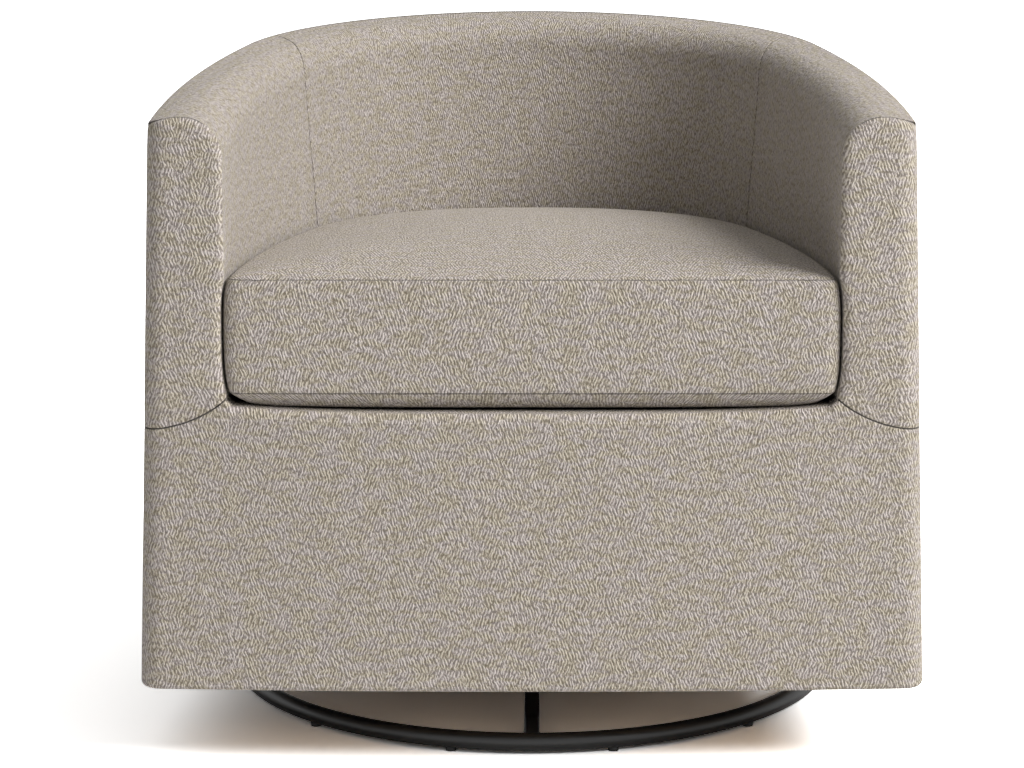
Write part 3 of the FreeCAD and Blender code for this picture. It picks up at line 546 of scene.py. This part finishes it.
def front_cover(name):
    """Full-width front, from a turned-under hem to the lip under the cushion and the arm seams."""
    reach = front_reach(WEAVE_HEIGHT)
    half = steps(reach)
    across = np.concatenate([-half[:0:-1], half])
    turn = np.linspace(0, math.pi / 2, TURN_POINTS)
    rows = steps(FRONT_TOP - SKIRT_HEIGHT)
    back = np.array(LIP_BACK)
    nudge = 1e-4
    nearly = 1e-6
    count = 1 + len(turn) + len(rows) + len(turn) + len(back)
    points = np.zeros((len(across), count, 3))
    uv = np.zeros((len(across), count, 2))
    seam = np.full((len(across), count), NO_SEAM)
    for i, place in enumerate(across):
        sign = -1.0 if place < 0 else 1.0
        share = np.array([abs(place)]) / reach
        x = front_line(ARM_SEAM_HEIGHT, share * front_reach(ARM_SEAM_HEIGHT))[0][0]
        under_arm = smooth((x - INSIDE_HALF_WIDTH + LIP_END_INSET) / LIP_END_WIDTH)
        top = mix(FRONT_TOP + lip_rise(x), float(arm_seam(x)) - ARM_SEAM_GAP, under_arm)
        roll = mix(LIP_RADIUS, ARM_SEAM_ROLL, under_arm)
        low = SKIRT_HEIGHT + HEM_RADIUS
        heights = low + rows / rows[-1] * (top - roll - low)
        levels = np.concatenate([[SKIRT_HEIGHT], SKIRT_HEIGHT + HEM_RADIUS * (1 - np.cos(turn)), heights,
                                 top - roll * (1 - np.sin(turn)), np.full(len(back), top)])
        depth = np.concatenate([[HEM_TURN], HEM_RADIUS * (1 - np.sin(turn)), np.zeros(len(heights)),
                                roll * (1 - np.cos(turn)), roll + back])
        depth = depth + edge_drop(reach - abs(place))
        seam[i] = np.minimum(reach - abs(place), top - levels + NO_SEAM * (1 - under_arm))
        for j, level in enumerate(levels):
            length = share * front_reach(level)
            px, py = front_line(level, length)
            qx, qy = front_line(level, length + nudge)
            rx, ry = front_line(level, length - nudge)
            way = np.array((qx[0] - rx[0], qy[0] - ry[0]))
            way = way / np.linalg.norm(way)
            inward = np.array((-way[1], way[0]))
            points[i, j] = (sign * (px[0] + inward[0] * depth[j]), py[0] + inward[1] * depth[j], level)
        uv[i, :, 0] = place
        under, over = np.arange(count) < 1, levels >= top - nearly
        uv[i, :, 1] = levels - np.where(under, depth, 0) + np.where(over, depth, 0)
    return cloth_panel(name, points, uv, seam, np.array((0.0, -1.0, 0.0)))


def arm_outline():
    """Top edge of the right arm front, from the outer corner over the crown, and its inner edge down."""
    height = rim_height(FRONT_PLANE)
    side = front_half_width + flare_at(height)
    roll = roll_profile(0.0)
    top = np.stack([side - roll[:, 0], height + roll[:, 1]], 1)
    levels = np.linspace(top[-1, 1], float(arm_seam(top[-1, 0])), FACE_POINTS)[1:]
    return top, np.stack([top[-1, 0] + side_bow(over_deck(FRONT_PLANE, levels)), levels], 1)


def to_line(points, line):
    """Least distance from each point to a line of points, all in a plane."""
    best = np.full(points.shape[:-1], np.inf)
    for a, b in zip(line[:-1], line[1:]):
        way = b - a
        share = np.clip(((points - a) @ way) / max(way @ way, TINY), 0, 1)
        best = np.minimum(best, np.linalg.norm(points - a - share[..., None] * way, axis=-1))
    return best


def arm_front_cover(name, side):
    """Padded end of an arm: flat face, edge turned back to the seam, wrapped round the outer corner."""
    top_edge, inner_edge = arm_outline()
    outline = np.concatenate([top_edge, inner_edge])
    inner_x = outline[-1, 0]
    height = rim_height(FRONT_PLANE)
    places = inner_x + steps(front_reach(height) - inner_x, ARM_FRONT_STEP)
    shares = steps(ARM_FRONT_HEIGHT, ARM_FRONT_ROW) / ARM_FRONT_HEIGHT
    points = np.zeros((len(places), len(shares), 3))
    uv = np.zeros((len(places), len(shares), 2))
    top_line = top_edge[::-1]
    for i, place in enumerate(places):
        share = (place - inner_x) / (front_reach(height) - inner_x)
        foot = np.array([mix(inner_x, front_reach(ARM_SEAM_HEIGHT), share)])
        low = float(arm_seam(front_line(ARM_SEAM_HEIGHT, foot)[0][0]))
        head = front_line(height, np.array([place]))[0][0]
        high = float(np.interp(head, top_line[:, 0], top_line[:, 1]))
        levels = mix(low, high, shares)
        for j, level in enumerate(levels):
            inner = inner_x + side_bow(over_deck(FRONT_PLANE, level))
            px, py = front_line(level, np.array([mix(inner, front_reach(level), share)]))
            points[i, j] = (px[0], py[0], level)
        uv[i, :, 0] = place
        uv[i, :, 1] = levels
    flat = points[:, :, [0, 2]]
    rim = to_line(flat, outline)
    seam_x = np.linspace(inner_x, ARM_HALF_WIDTH + SIDE_FLARE, ARM_SEAM_POINTS)
    seam = to_line(flat, np.stack([seam_x, arm_seam(seam_x)], 1))
    turn = np.arctan2(np.maximum(points[:, :, 1] - Y_FRONT - FRONT_BOW, 0), CORNER_RADIUS)
    facing = np.cos(np.clip(turn * 2, 0, math.pi / 2))
    plump = ARM_FRONT_SWELL * smooth(np.minimum(rim, seam) / ARM_FRONT_SWELL_WIDTH) * facing
    drop = edge_drop(rim, ARM_FRONT_ROUND, ARM_FRONT_ROUND) + edge_drop(seam) - plump
    bend = CORNER_RADIUS * math.pi / 2
    corner = np.clip((places - front_reach(height) + bend) / bend, 0, 1)
    angle = (corner * math.pi / 2)[:, None]
    points[:, :, 1] += drop * np.cos(angle)
    points[:, :, 0] -= drop * np.sin(angle)
    points[:, :, 0] *= side
    uv[:, :, 0] *= side
    top = to_line(flat, top_edge) + NO_SEAM * smooth((inner_x + SEAM_INNER - flat[:, :, 0]) / SEAM_INNER)
    return cloth_panel(name, points, uv, np.minimum(top, seam), np.array((side * 0.5, -1.0, 0.0)))


# Loose cushion


def cushion_ring(count):
    """Plan outline of the cushion, as even points round from the middle of the front, and its length."""
    curve = Barrel(CUSHION_HALF_WIDTH, Y_FRONT - FRONT_PLANE, CUSHION_BACK, CUSHION_BACK_RADIUS)
    start = curve.length_to(CUSHION_FRONT + CUSHION_CORNER)
    side = np.array([curve.at(length)[0] for length in np.linspace(start, 0, CUSHION_SIDE_POINTS)])
    corner = side[0] - np.array((CUSHION_CORNER, 0.0))
    angles = np.linspace(-math.pi / 2, 0, CUSHION_CORNER_POINTS)[:-1]
    bend = corner + CUSHION_CORNER * np.stack([np.cos(angles), np.sin(angles)], 1)
    right = np.concatenate([[(0.0, CUSHION_FRONT)], bend, side])
    left = right[-2:0:-1] * np.array((-1, 1))
    ring = np.concatenate([right, left, right[:1]])
    length = walk(ring)[-1]
    return resample(ring, np.linspace(0, length, count, endpoint=False)), length


def square_walk(half):
    """Cells of a square grid's outline, from the middle of its front edge round to the right."""
    right = [(half, j) for j in range(-half, half)]
    back = [(i, half) for i in range(half, -half, -1)]
    left = [(-half, j) for j in range(half, -half, -1)]
    front = [(i, -half) for i in range(-half, half)]
    return front[half:] + right + back + left + front[:half]


def ring_middle(ring):
    return np.array((0.0, (ring[:, 1].max() + ring[:, 1].min()) / 2))


def cushion_cap(ring, level, crown):
    """Points of a cap on nested rings: dict from grid cell to (x, y, z)."""
    half = CUSHION_RINGS
    centre = ring_middle(ring)
    closed = np.concatenate([ring, ring[:1]])
    cells = {(0, 0): (*centre, level + crown(0.0))}
    for size in range(1, half + 1):
        share = size / half
        walk_cells = square_walk(size)
        places = np.arange(len(walk_cells)) * len(ring) / len(walk_cells)
        for cell, place in zip(walk_cells, places):
            k = int(place)
            point = mix(closed[k], closed[k + 1], place - k)
            xy = centre + (point - centre) * share
            cells[cell] = (xy[0], xy[1], level + crown(share))
    return cells


def build_cushion(name):
    """Closed box cushion: crowned top, side band between two seams, flat sole."""
    half = CUSHION_RINGS
    count = 8 * half
    ring, length = cushion_ring(count)
    crown = CUSHION_CROWN - CUSHION_TOP_SEAM
    top = cushion_cap(ring, CUSHION_TOP_SEAM, lambda share: crown * (1 - share ** 4))
    middle = ring_middle(ring)
    mean_radius = np.linalg.norm(ring - middle, axis=1).mean()
    sole_ring = middle + (ring - middle) * (1 - CUSHION_SOLE_INSET / mean_radius)
    sole_ring[:, 1] = np.where(sole_ring[:, 1] < 0, sole_ring[:, 1] - CUSHION_SOLE_FRONT, sole_ring[:, 1])
    sole = cushion_cap(sole_ring, CUSHION_SOLE_GAP, lambda share: 0.0)
    for cell, (x, y, z) in sole.items():
        rise = lip_rise(x)
        over_lip = smooth(((LIP_BLEND if rise > 0 else 0.0) - y) / LIP_BLEND)
        sole[cell] = (x, y, z + (rise - CUSHION_SOLE_GAP / 2) * over_lip)
    grid = [(i, j) for i in range(-half, half + 1) for j in range(-half, half + 1)]
    where = {cell: k for k, cell in enumerate(grid)}
    vertices = [top[cell] for cell in grid]
    uvs = [(top[cell][0], top[cell][1]) for cell in grid]
    rim = [where[cell] for cell in square_walk(half)]
    faces, face_uv, face_seam = [], [], []
    ring_gap = mean_radius / half

    def quad(corners, coordinates, seams):
        faces.append(corners)
        face_uv.extend(coordinates)
        face_seam.extend((seam, 0.0) for seam in seams)

    def to_rim(cell):
        return (half - max(abs(cell[0]), abs(cell[1]))) * ring_gap

    for i in range(-half, half):
        for j in range(-half, half):
            cells = [(i, j), (i + 1, j), (i + 1, j + 1), (i, j + 1)]
            corners = [where[cell] for cell in cells]
            quad(corners, [uvs[c] for c in corners], [to_rim(cell) for cell in cells])
    levels = CUSHION_TOP_SEAM - np.arange(1, CUSHION_BAND_ROWS + 1) / CUSHION_BAND_ROWS * (
        CUSHION_TOP_SEAM - CUSHION_LOW_SEAM)
    previous, previous_level = rim, CUSHION_TOP_SEAM
    places = np.arange(count + 1) / count * length
    rows = [rim]
    for level in levels:
        row = list(range(len(vertices), len(vertices) + count))
        wide = 1 + side_bow(level) / CUSHION_HALF_WIDTH
        vertices += [(x * wide, y, level) for x, y in ring]
        upper, lower = (min(CUSHION_TOP_SEAM - z, z - CUSHION_LOW_SEAM) for z in (previous_level, level))
        for k in range(count):
            n = (k + 1) % count
            quad([previous[n], previous[k], row[k], row[n]],
                 [(places[k + 1], previous_level), (places[k], previous_level), (places[k], level),
                  (places[k + 1], level)], [upper, upper, lower, lower])
        previous, previous_level = row, level
        rows.append(row)
    start = len(vertices)
    vertices += [sole[cell] for cell in grid]
    sole_rim = [start + where[cell] for cell in square_walk(half)]
    for k in range(count):
        n = (k + 1) % count
        quad([previous[n], previous[k], sole_rim[k], sole_rim[n]],
             [(places[k + 1], previous_level), (places[k], previous_level), (places[k], 0.0),
              (places[k + 1], 0.0)], [0.0, 0.0, CUSHION_SOLE_INSET, CUSHION_SOLE_INSET])
    for i in range(-half, half):
        for j in range(-half, half):
            corners = [start + where[cell] for cell in ((i, j), (i, j + 1), (i + 1, j + 1), (i + 1, j))]
            quad(corners, [vertices[c][:2] for c in corners], [NO_SEAM] * 4)
    piece = new_piece(name, [tuple(map(float, v)) for v in vertices], faces)
    lay_cloth(piece, face_uv, face_seam)
    low_seam = set(rows[-1])
    crease = piece.data.attributes.new("crease_edge", "FLOAT", "EDGE")
    for edge, sharpness in zip(piece.data.edges, crease.data):
        if low_seam.issuperset(edge.vertices):
            sharpness.value = LOW_SEAM_CREASE
    pins = piece.vertex_groups.new(name="seam_shade_and_groove")
    pins.add(rows[0] + rows[-1] + list(range(start, len(vertices))), 1.0, "REPLACE")
    return piece


def swell(piece):
    """Blows the cover up against its sewn seams, then keeps the result as the mesh."""
    mesh = piece.data
    rest = np.zeros(len(mesh.vertices) * 3, np.float32)
    mesh.vertices.foreach_get("co", rest)
    cloth = piece.modifiers.new("cloth", "CLOTH")
    settings = cloth.settings
    settings.quality = 6
    settings.mass = 0.4
    settings.tension_stiffness = 30
    settings.compression_stiffness = 30
    settings.bending_stiffness = 2
    settings.use_pressure = True
    settings.uniform_pressure_force = 4
    settings.effector_weights.gravity = 0
    settings.vertex_group_mass = "seam_shade_and_groove"
    scene = bpy.context.scene
    for number in range(1, SWELL_FRAMES + 1):
        scene.frame_set(number)
    made = piece.evaluated_get(bpy.context.evaluated_depsgraph_get()).to_mesh()
    moved = np.zeros(len(mesh.vertices) * 3, np.float32)
    made.vertices.foreach_get("co", moved)
    piece.modifiers.remove(cloth)
    scene.frame_set(1)
    rest = rest.reshape(-1, 3)
    step = moved.reshape(-1, 3) - rest
    front = smooth((CUSHION_FRONT + CUSHION_CORNER - rest[:, 1]) / CUSHION_CORNER)
    room = mix(CUSHION_SIDE_SWELL, CUSHION_FRONT_SWELL, front)
    aside = np.maximum(np.linalg.norm(step[:, :2], axis=1), TINY)
    step[:, :2] *= np.minimum(1.0, room / aside)[:, None]
    step[:, 2] = np.clip(step[:, 2], -CUSHION_FRONT_SWELL, CUSHION_TOP_SWELL)
    mesh.vertices.foreach_set("co", (rest + step).astype(np.float32).ravel())
    mesh.update()


def place_on_seat(piece):
    """From the deck's own plane to the pitched seat."""
    mesh = piece.data
    co = np.zeros(len(mesh.vertices) * 3)
    mesh.vertices.foreach_get("co", co)
    co = co.reshape(-1, 3)
    cos, sin = math.cos(-SEAT_PITCH), math.sin(-SEAT_PITCH)
    y = co[:, 1] * cos - co[:, 2] * sin + FRONT_PLANE
    z = co[:, 1] * sin + co[:, 2] * cos + FRONT_TOP
    mesh.vertices.foreach_set("co", np.stack([co[:, 0], y, z], 1).astype(np.float32).ravel())
    mesh.update()


# Materials


class Nodes:
    """Shorthand for wiring one material's nodes."""

    def __init__(self, name):
        self.material = bpy.data.materials.new(name)
        self.material.use_nodes = True
        self.tree = self.material.node_tree
        self.shader = self.tree.nodes["Principled BSDF"]

    def put(self, kind, inputs=(), **settings):
        node = self.tree.nodes.new(kind)
        for key, value in settings.items():
            setattr(node, key, value)
        for key, value in dict(inputs).items():
            self.plug(node.inputs[key], value)
        return node

    def plug(self, socket, value):
        if hasattr(value, "is_linked"):
            self.tree.links.new(value, socket)
        else:
            socket.default_value = value

    def math(self, operation, *values):
        node = self.put("ShaderNodeMath", dict(enumerate(values)), operation=operation)
        return node.outputs[0]

    def noise(self, vector, scale, detail=2.0, roughness=0.5):
        node = self.put("ShaderNodeTexNoise", {"Vector": vector, "Scale": scale, "Detail": detail,
                                               "Roughness": roughness})
        return node.outputs["Fac"]

    def between(self, value, low, high, to_low=0.0, to_high=1.0):
        node = self.put("ShaderNodeMapRange", {"Value": value, "From Min": low, "From Max": high,
                                               "To Min": to_low, "To Max": to_high},
                        interpolation_type="SMOOTHSTEP")
        return node.outputs["Result"]

    def colour(self, share, first, second):
        node = self.put("ShaderNodeMix", {"Factor": share}, data_type="RGBA")
        self.plug(node.inputs[6], first)
        self.plug(node.inputs[7], second)
        return node.outputs[2]

    def combine(self, x, y, z=0.0):
        return self.put("ShaderNodeCombineXYZ", {"X": x, "Y": y, "Z": z}).outputs[0]

    def surface(self, **values):
        for key, value in values.items():
            self.plug(self.shader.inputs[key.replace("_", " ")], value)


def woven_fabric():
    """Short pale strokes that lean both ways in patches, on a taupe ground, with painted shade along seams.
    """
    n = Nodes("upholstery_fabric")
    uv = n.put("ShaderNodeUVMap", uv_map="weave").outputs[0]
    seam = n.put("ShaderNodeSeparateXYZ", {0: n.put("ShaderNodeUVMap", uv_map="seam").outputs[0]}).outputs[0]
    split = n.put("ShaderNodeSeparateXYZ", {0: uv})
    u, v = split.outputs[0], split.outputs[1]

    def sway(scale, size):
        return n.math("MULTIPLY", n.math("SUBTRACT", n.noise(uv, scale), 0.5), size)

    def chance(value):
        return n.put("ShaderNodeTexWhiteNoise", {"W": value}, noise_dimensions="1D").outputs["Value"]

    def strokes(lean, wander):
        across = n.math("ADD", n.math("MULTIPLY_ADD", v, lean, u), wander)
        phase = n.math("DIVIDE", across, RIB_SPACING)
        rib = n.math("FLOOR", phase)
        along = n.math("MULTIPLY_ADD", chance(rib), RIB_SHIFT, n.math("DIVIDE", v, STROKE_LENGTH))
        mark = n.math("MULTIPLY_ADD", n.math("FLOOR", along), STROKE_MARK, n.math("MULTIPLY", rib, RIB_MARK))
        aside = n.math("MULTIPLY_ADD", chance(mark), 0.36, -0.68)
        ridge = n.between(n.math("ABSOLUTE", n.math("ADD", n.math("FRACT", phase), aside)), 0.40, 0.04)
        end = n.math("ABSOLUTE", n.math("SUBTRACT", n.math("FRACT", along), 0.5))
        bold = n.math("MULTIPLY_ADD", chance(n.math("ADD", mark, BOLD_MARK)), 0.6, 0.5)
        return n.math("MULTIPLY", n.math("MULTIPLY", ridge, n.between(end, 0.50, 0.22, 0.20, 1.0)), bold)

    def stretched(across, up):
        return n.combine(n.math("MULTIPLY", u, across), n.math("MULTIPLY", v, up))

    wander = sway(WANDERS, WANDER_SIZE)
    patch = n.noise(stretched(PATCHES_ACROSS, PATCHES_UP), 1.0, 1.0)
    relief = n.put("ShaderNodeMix", {0: n.between(patch, 0.45, 0.55), 2: strokes(STROKE_LEAN, wander),
                                     3: strokes(-STROKE_LEAN, wander)}).outputs[0]
    grain = n.noise(stretched(GRAIN_ACROSS, GRAIN_UP), 1.0, 2.0, 0.65)
    height = n.math("ADD", relief, n.math("MULTIPLY_ADD", grain, 2.2, -0.84))
    slub = n.between(n.noise(stretched(SLUBS_ACROSS, SLUBS_UP), 1.0, 2.0, 0.6), 0.38, 0.62)
    ground = n.colour(slub, GROUND_WARM, GROUND_COOL)
    pale = n.colour(slub, PALE_WARM, PALE_COOL)
    # Raised strokes take the pale colours and the low ground the dark ones: partly the yarn's own tone,
    # partly painted relief shade and highlight
    tone = n.colour(n.between(height, 0.0, 1.05), ground, pale)
    # Painted shade along the seams: near a seam the colour darkens towards a near-black, and the bump dips
    # into a groove
    seam_shade_and_groove = n.between(seam, SEAM_LINE, 0.4 * SEAM_LINE)
    tone = n.colour(n.math("MULTIPLY", seam_shade_and_groove, 0.65), tone, PAINTED_SEAM_SHADE)
    raised = n.math("SUBTRACT", height, n.math("MULTIPLY", seam_shade_and_groove, 1.5))
    bump = n.put("ShaderNodeBump", {"Height": raised, "Strength": 0.9, "Distance": WEAVE_DEPTH})
    n.surface(Base_Color=tone, Roughness=0.92, Normal=bump.outputs[0], Specular_IOR_Level=0.15)
    n.surface(Sheen_Weight=0.15, Sheen_Roughness=0.5, Sheen_Tint=(0.95, 0.92, 0.88, 1))
    return n.material


def lining_cloth():
    n = Nodes("lining_fabric")
    place = n.put("ShaderNodeTexCoord").outputs["Object"]
    weave = n.put("ShaderNodeTexVoronoi", {"Vector": place, "Scale": 700.0}).outputs["Distance"]
    tone = n.colour(weave, (0.010, 0.010, 0.011, 1), (0.035, 0.034, 0.034, 1))
    bump = n.put("ShaderNodeBump", {"Height": weave, "Strength": 0.4, "Distance": 0.0004})
    n.surface(Base_Color=tone, Roughness=0.95, Normal=bump.outputs[0])
    return n.material


def black_steel():
    """Satin powder coat with a fine orange-peel surface."""
    n = Nodes("black_steel")
    place = n.put("ShaderNodeTexCoord").outputs["Object"]
    peel = n.noise(place, 900.0, 2.0, 0.6)
    dust = n.noise(place, 14.0, 4.0, 0.6)
    tone = n.colour(dust, (0.006, 0.006, 0.006, 1), (0.012, 0.012, 0.012, 1))
    bump = n.put("ShaderNodeBump", {"Height": peel, "Strength": 0.15, "Distance": 0.0002})
    n.surface(Base_Color=tone, Roughness=n.between(dust, 0.2, 0.8, 0.34, 0.46), Normal=bump.outputs[0])
    return n.material


def bright_steel():
    n = Nodes("bright_steel")
    place = n.put("ShaderNodeTexCoord").outputs["Object"]
    stretched = n.put("ShaderNodeMapping", {"Vector": place, "Scale": (40.0, 400.0, 400.0)}).outputs[0]
    lines = n.noise(stretched, 3.0, 4.0, 0.6)
    tone = n.colour(lines, (0.42, 0.42, 0.42, 1), (0.62, 0.61, 0.60, 1))
    n.surface(Base_Color=tone, Metallic=1.0, Roughness=n.between(lines, 0.2, 0.8, 0.25, 0.45))
    return n.material


def frame_wood():
    n = Nodes("frame_wood")
    place = n.put("ShaderNodeTexCoord").outputs["Object"]
    stretched = n.put("ShaderNodeMapping", {"Vector": place, "Scale": (3.0, 30.0, 30.0)}).outputs[0]
    rings = n.put("ShaderNodeTexWave", {"Vector": stretched, "Scale": 2.0, "Distortion": 6.0, "Detail": 3.0})
    pores = n.noise(stretched, 40.0, 4.0, 0.6)
    grain = n.math("MULTIPLY_ADD", pores, 0.4, n.math("MULTIPLY", rings.outputs["Fac"], 0.6))
    tone = n.colour(grain, (0.36, 0.21, 0.10, 1), (0.56, 0.38, 0.21, 1))
    bump = n.put("ShaderNodeBump", {"Height": pores, "Strength": 0.3, "Distance": 0.0003})
    n.surface(Base_Color=tone, Roughness=0.65, Normal=bump.outputs[0])
    return n.material


def speckled(name, low, high, roughness, scale):
    """Moulded plastic or rubber with a fine grain."""
    n = Nodes(name)
    place = n.put("ShaderNodeTexCoord").outputs["Object"]
    grain = n.noise(place, scale, 3.0, 0.6)
    bump = n.put("ShaderNodeBump", {"Height": grain, "Strength": 0.2, "Distance": 0.0002})
    n.surface(Base_Color=n.colour(grain, low, high), Roughness=roughness, Normal=bump.outputs[0])
    return n.material


fabric = woven_fabric()
finishes = {
    "upholstery_fabric": fabric,
    "lining_fabric": lining_cloth(),
    "black_steel": black_steel(),
    "bright_steel": bright_steel(),
    "frame_wood": frame_wood(),
    "glide_plastic": speckled("glide_plastic", (0.006, 0.006, 0.006, 1), (0.016, 0.016, 0.016, 1), 0.5,
                              1200.0),
    "bush_plastic": speckled("bush_plastic", (0.55, 0.52, 0.45, 1), (0.66, 0.63, 0.56, 1), 0.4, 1200.0),
    "stop_rubber": speckled("stop_rubber", (0.008, 0.008, 0.008, 1), (0.020, 0.020, 0.020, 1), 0.8, 900.0),
}
for part in frame["record"]["subparts"]:
    mesh = nodes[part["node"]].data
    mesh.materials.clear()
    mesh.materials.append(finishes[part["material_slot"]])


# Dressing the chair


def cover(piece, node):
    """Fabric cover that rides on the seat in place of a CAD node."""
    piece.data.materials.append(fabric)
    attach(piece, "seat")
    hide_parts(node)


cover(inside_cover("inside_back_cover", lambda d: -seam_length(d), seam_length),
      "inside_back_pad")
cover(inside_cover("inside_arm_cover_right", seam_length, arm_end, 1), "inside_arm_pad_right")
cover(inside_cover("inside_arm_cover_left", lambda d: -arm_end(d), lambda d: -seam_length(d), -1),
      "inside_arm_pad_left")
cover(outside_cover("outside_back_cover", -outside_seam, outside_seam), "outside_back")
cover(outside_cover("outside_arm_cover_right", outside_seam, front_end), "outside_arm_right")
cover(outside_cover("outside_arm_cover_left", -front_end, -outside_seam), "outside_arm_left")
cover(front_cover("front_cover"), "front_panel")
cover(arm_front_cover("arm_front_cover_right", 1), "arm_front_right")
cover(arm_front_cover("arm_front_cover_left", -1), "arm_front_left")

cushion = build_cushion("seat_cushion_cover")
swell(cushion)
place_on_seat(cushion)
subdivision = cushion.modifiers.new("smooth", "SUBSURF")
subdivision.levels = subdivision.render_levels = 1
subdivision.uv_smooth = "NONE"
cover(cushion, "seat_cushion")


def lining_sheet(name, curve, front, node):
    """D-shaped cloth stretched flat inside a plan curve, from a straight front edge."""
    lengths = np.linspace(curve.length_to(front), SHEET_TIP, SHEET_ROWS)
    side = np.array([curve.at(length)[0] for length in lengths])
    across = np.linspace(-1, 1, SHEET_COLUMNS)
    points = np.zeros((len(side), len(across), 3))
    points[:, :, 0] = side[:, :1] * across[None]
    points[:, :, 1] = side[:, 1:]
    rows, columns = points.shape[:2]
    index = np.arange(rows * columns).reshape(rows, columns)
    faces = np.stack([index[:-1, :-1], index[:-1, 1:], index[1:, 1:], index[1:, :-1]], 2).reshape(-1, 4)
    piece = new_piece(name, points.reshape(-1, 3).tolist(), faces.tolist())
    piece.data.materials.append(finishes["lining_fabric"])
    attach(piece, "seat")
    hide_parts(node)
    return piece


dust_offset = flare_at(DUST_COVER_HEIGHT) - FRAME_FACE
dust_curve = Barrel(ARM_HALF_WIDTH + dust_offset, Y_FRONT, BODY_BACK + dust_offset, BACK_RADIUS + dust_offset)
dust = lining_sheet("dust_cover_cloth", dust_curve, DUST_COVER_FRONT, "dust_cover")
for vertex in dust.data.vertices:
    vertex.co.z = DUST_COVER_HEIGHT
deck_curve = Barrel(INSIDE_HALF_WIDTH - DECK_CLEARANCE, Y_FRONT - FRONT_PLANE,
                    INSIDE_BACK - FRONT_PLANE - DECK_CLEARANCE, INSIDE_RADIUS - DECK_CLEARANCE)
place_on_seat(lining_sheet("seat_deck_cloth", deck_curve, DECK_FRONT, "seat_deck"))


# Stage


def camera():
    data = bpy.data.cameras.new("camera")
    data.lens = CAMERA_LENS
    data.sensor_width = CAMERA_SENSOR
    data.shift_x = (PHOTO_WIDTH / 2 - CHAIR_CENTRE_PX) / PHOTO_WIDTH
    eye = bpy.data.objects.new("camera", data)
    eye.location = CAMERA_PLACE
    eye.rotation_euler = (math.radians(CAMERA_TILT), 0, 0)
    bpy.context.scene.collection.objects.link(eye)
    bpy.context.scene.camera = eye


def area_light(name, place, target, size, power, tall=None):
    data = bpy.data.lights.new(name, "AREA")
    data.shape = "RECTANGLE" if tall else "DISK"
    data.size = size
    data.size_y = tall or size
    data.energy = power
    lamp = bpy.data.objects.new(name, data)
    lamp.location = place
    lamp.rotation_euler = (Vector(target) - Vector(place)).to_track_quat("-Z", "Y").to_euler()
    bpy.context.scene.collection.objects.link(lamp)


def floor():
    """Pale floor that reads as white to the camera away from the chair's shadow."""
    n = Nodes("floor")
    place = n.put("ShaderNodeTexCoord").outputs["Object"]
    mottle = n.noise(place, 3.0, 2.0, 0.5)
    tone = n.colour(mottle, (0.87, 0.87, 0.87, 1), (0.89, 0.89, 0.89, 1))
    seen = n.put("ShaderNodeLightPath").outputs["Is Camera Ray"]
    white = (FLOOR_WHITE, FLOOR_WHITE, FLOOR_WHITE, 1)
    diffuse = n.put("ShaderNodeBsdfDiffuse", {"Color": n.colour(seen, tone, white)})
    n.plug(n.tree.nodes["Material Output"].inputs["Surface"], diffuse.outputs[0])
    n.tree.nodes.remove(n.shader)
    corners = [(x * FLOOR_HALF, y * FLOOR_HALF, 0) for x, y in ((-1, -1), (1, -1), (1, 1), (-1, 1))]
    ground = new_piece("floor", corners, [(0, 1, 2, 3)])
    ground.data.materials.append(n.material)


def world():
    """Soft light that grows from the horizon to overhead, and plain white where the camera sees it."""
    sky = bpy.data.worlds.new("studio")
    sky.use_nodes = True
    tree = sky.node_tree
    way = tree.nodes.new("ShaderNodeTexCoord")
    split = tree.nodes.new("ShaderNodeSeparateXYZ")
    rise = tree.nodes.new("ShaderNodeMapRange")
    rise.interpolation_type = "SMOOTHSTEP"
    rise.inputs["To Min"].default_value = HORIZON_LIGHT
    rise.inputs["To Max"].default_value = ZENITH_LIGHT
    path = tree.nodes.new("ShaderNodeLightPath")
    blend = tree.nodes.new("ShaderNodeMix")
    blend.data_type = "RGBA"
    blend.inputs[7].default_value = (1, 1, 1, 1)
    tree.links.new(way.outputs["Generated"], split.inputs[0])
    tree.links.new(split.outputs[2], rise.inputs["Value"])
    tree.links.new(rise.outputs[0], blend.inputs[6])
    seen = tree.nodes.new("ShaderNodeMath")
    seen.operation = "MAXIMUM"
    mirrored = tree.nodes.new("ShaderNodeMath")
    mirrored.operation = "MAXIMUM"
    tree.links.new(path.outputs["Is Glossy Ray"], mirrored.inputs[0])
    tree.links.new(path.outputs["Is Transmission Ray"], mirrored.inputs[1])
    tree.links.new(path.outputs["Is Camera Ray"], seen.inputs[0])
    tree.links.new(mirrored.outputs[0], seen.inputs[1])
    tree.links.new(seen.outputs[0], blend.inputs[0])
    tree.links.new(blend.outputs[2], tree.nodes["Background"].inputs["Color"])
    bpy.context.scene.world = sky


camera()
world()
floor()
area_light("key", KEY_PLACE, KEY_TARGET, KEY_SIZE, KEY_POWER)
area_light("front_fill", FILL_PLACE, FILL_TARGET, FILL_WIDTH, FILL_POWER, FILL_HEIGHT)

bpy.context.scene.view_settings.view_transform = "Standard"
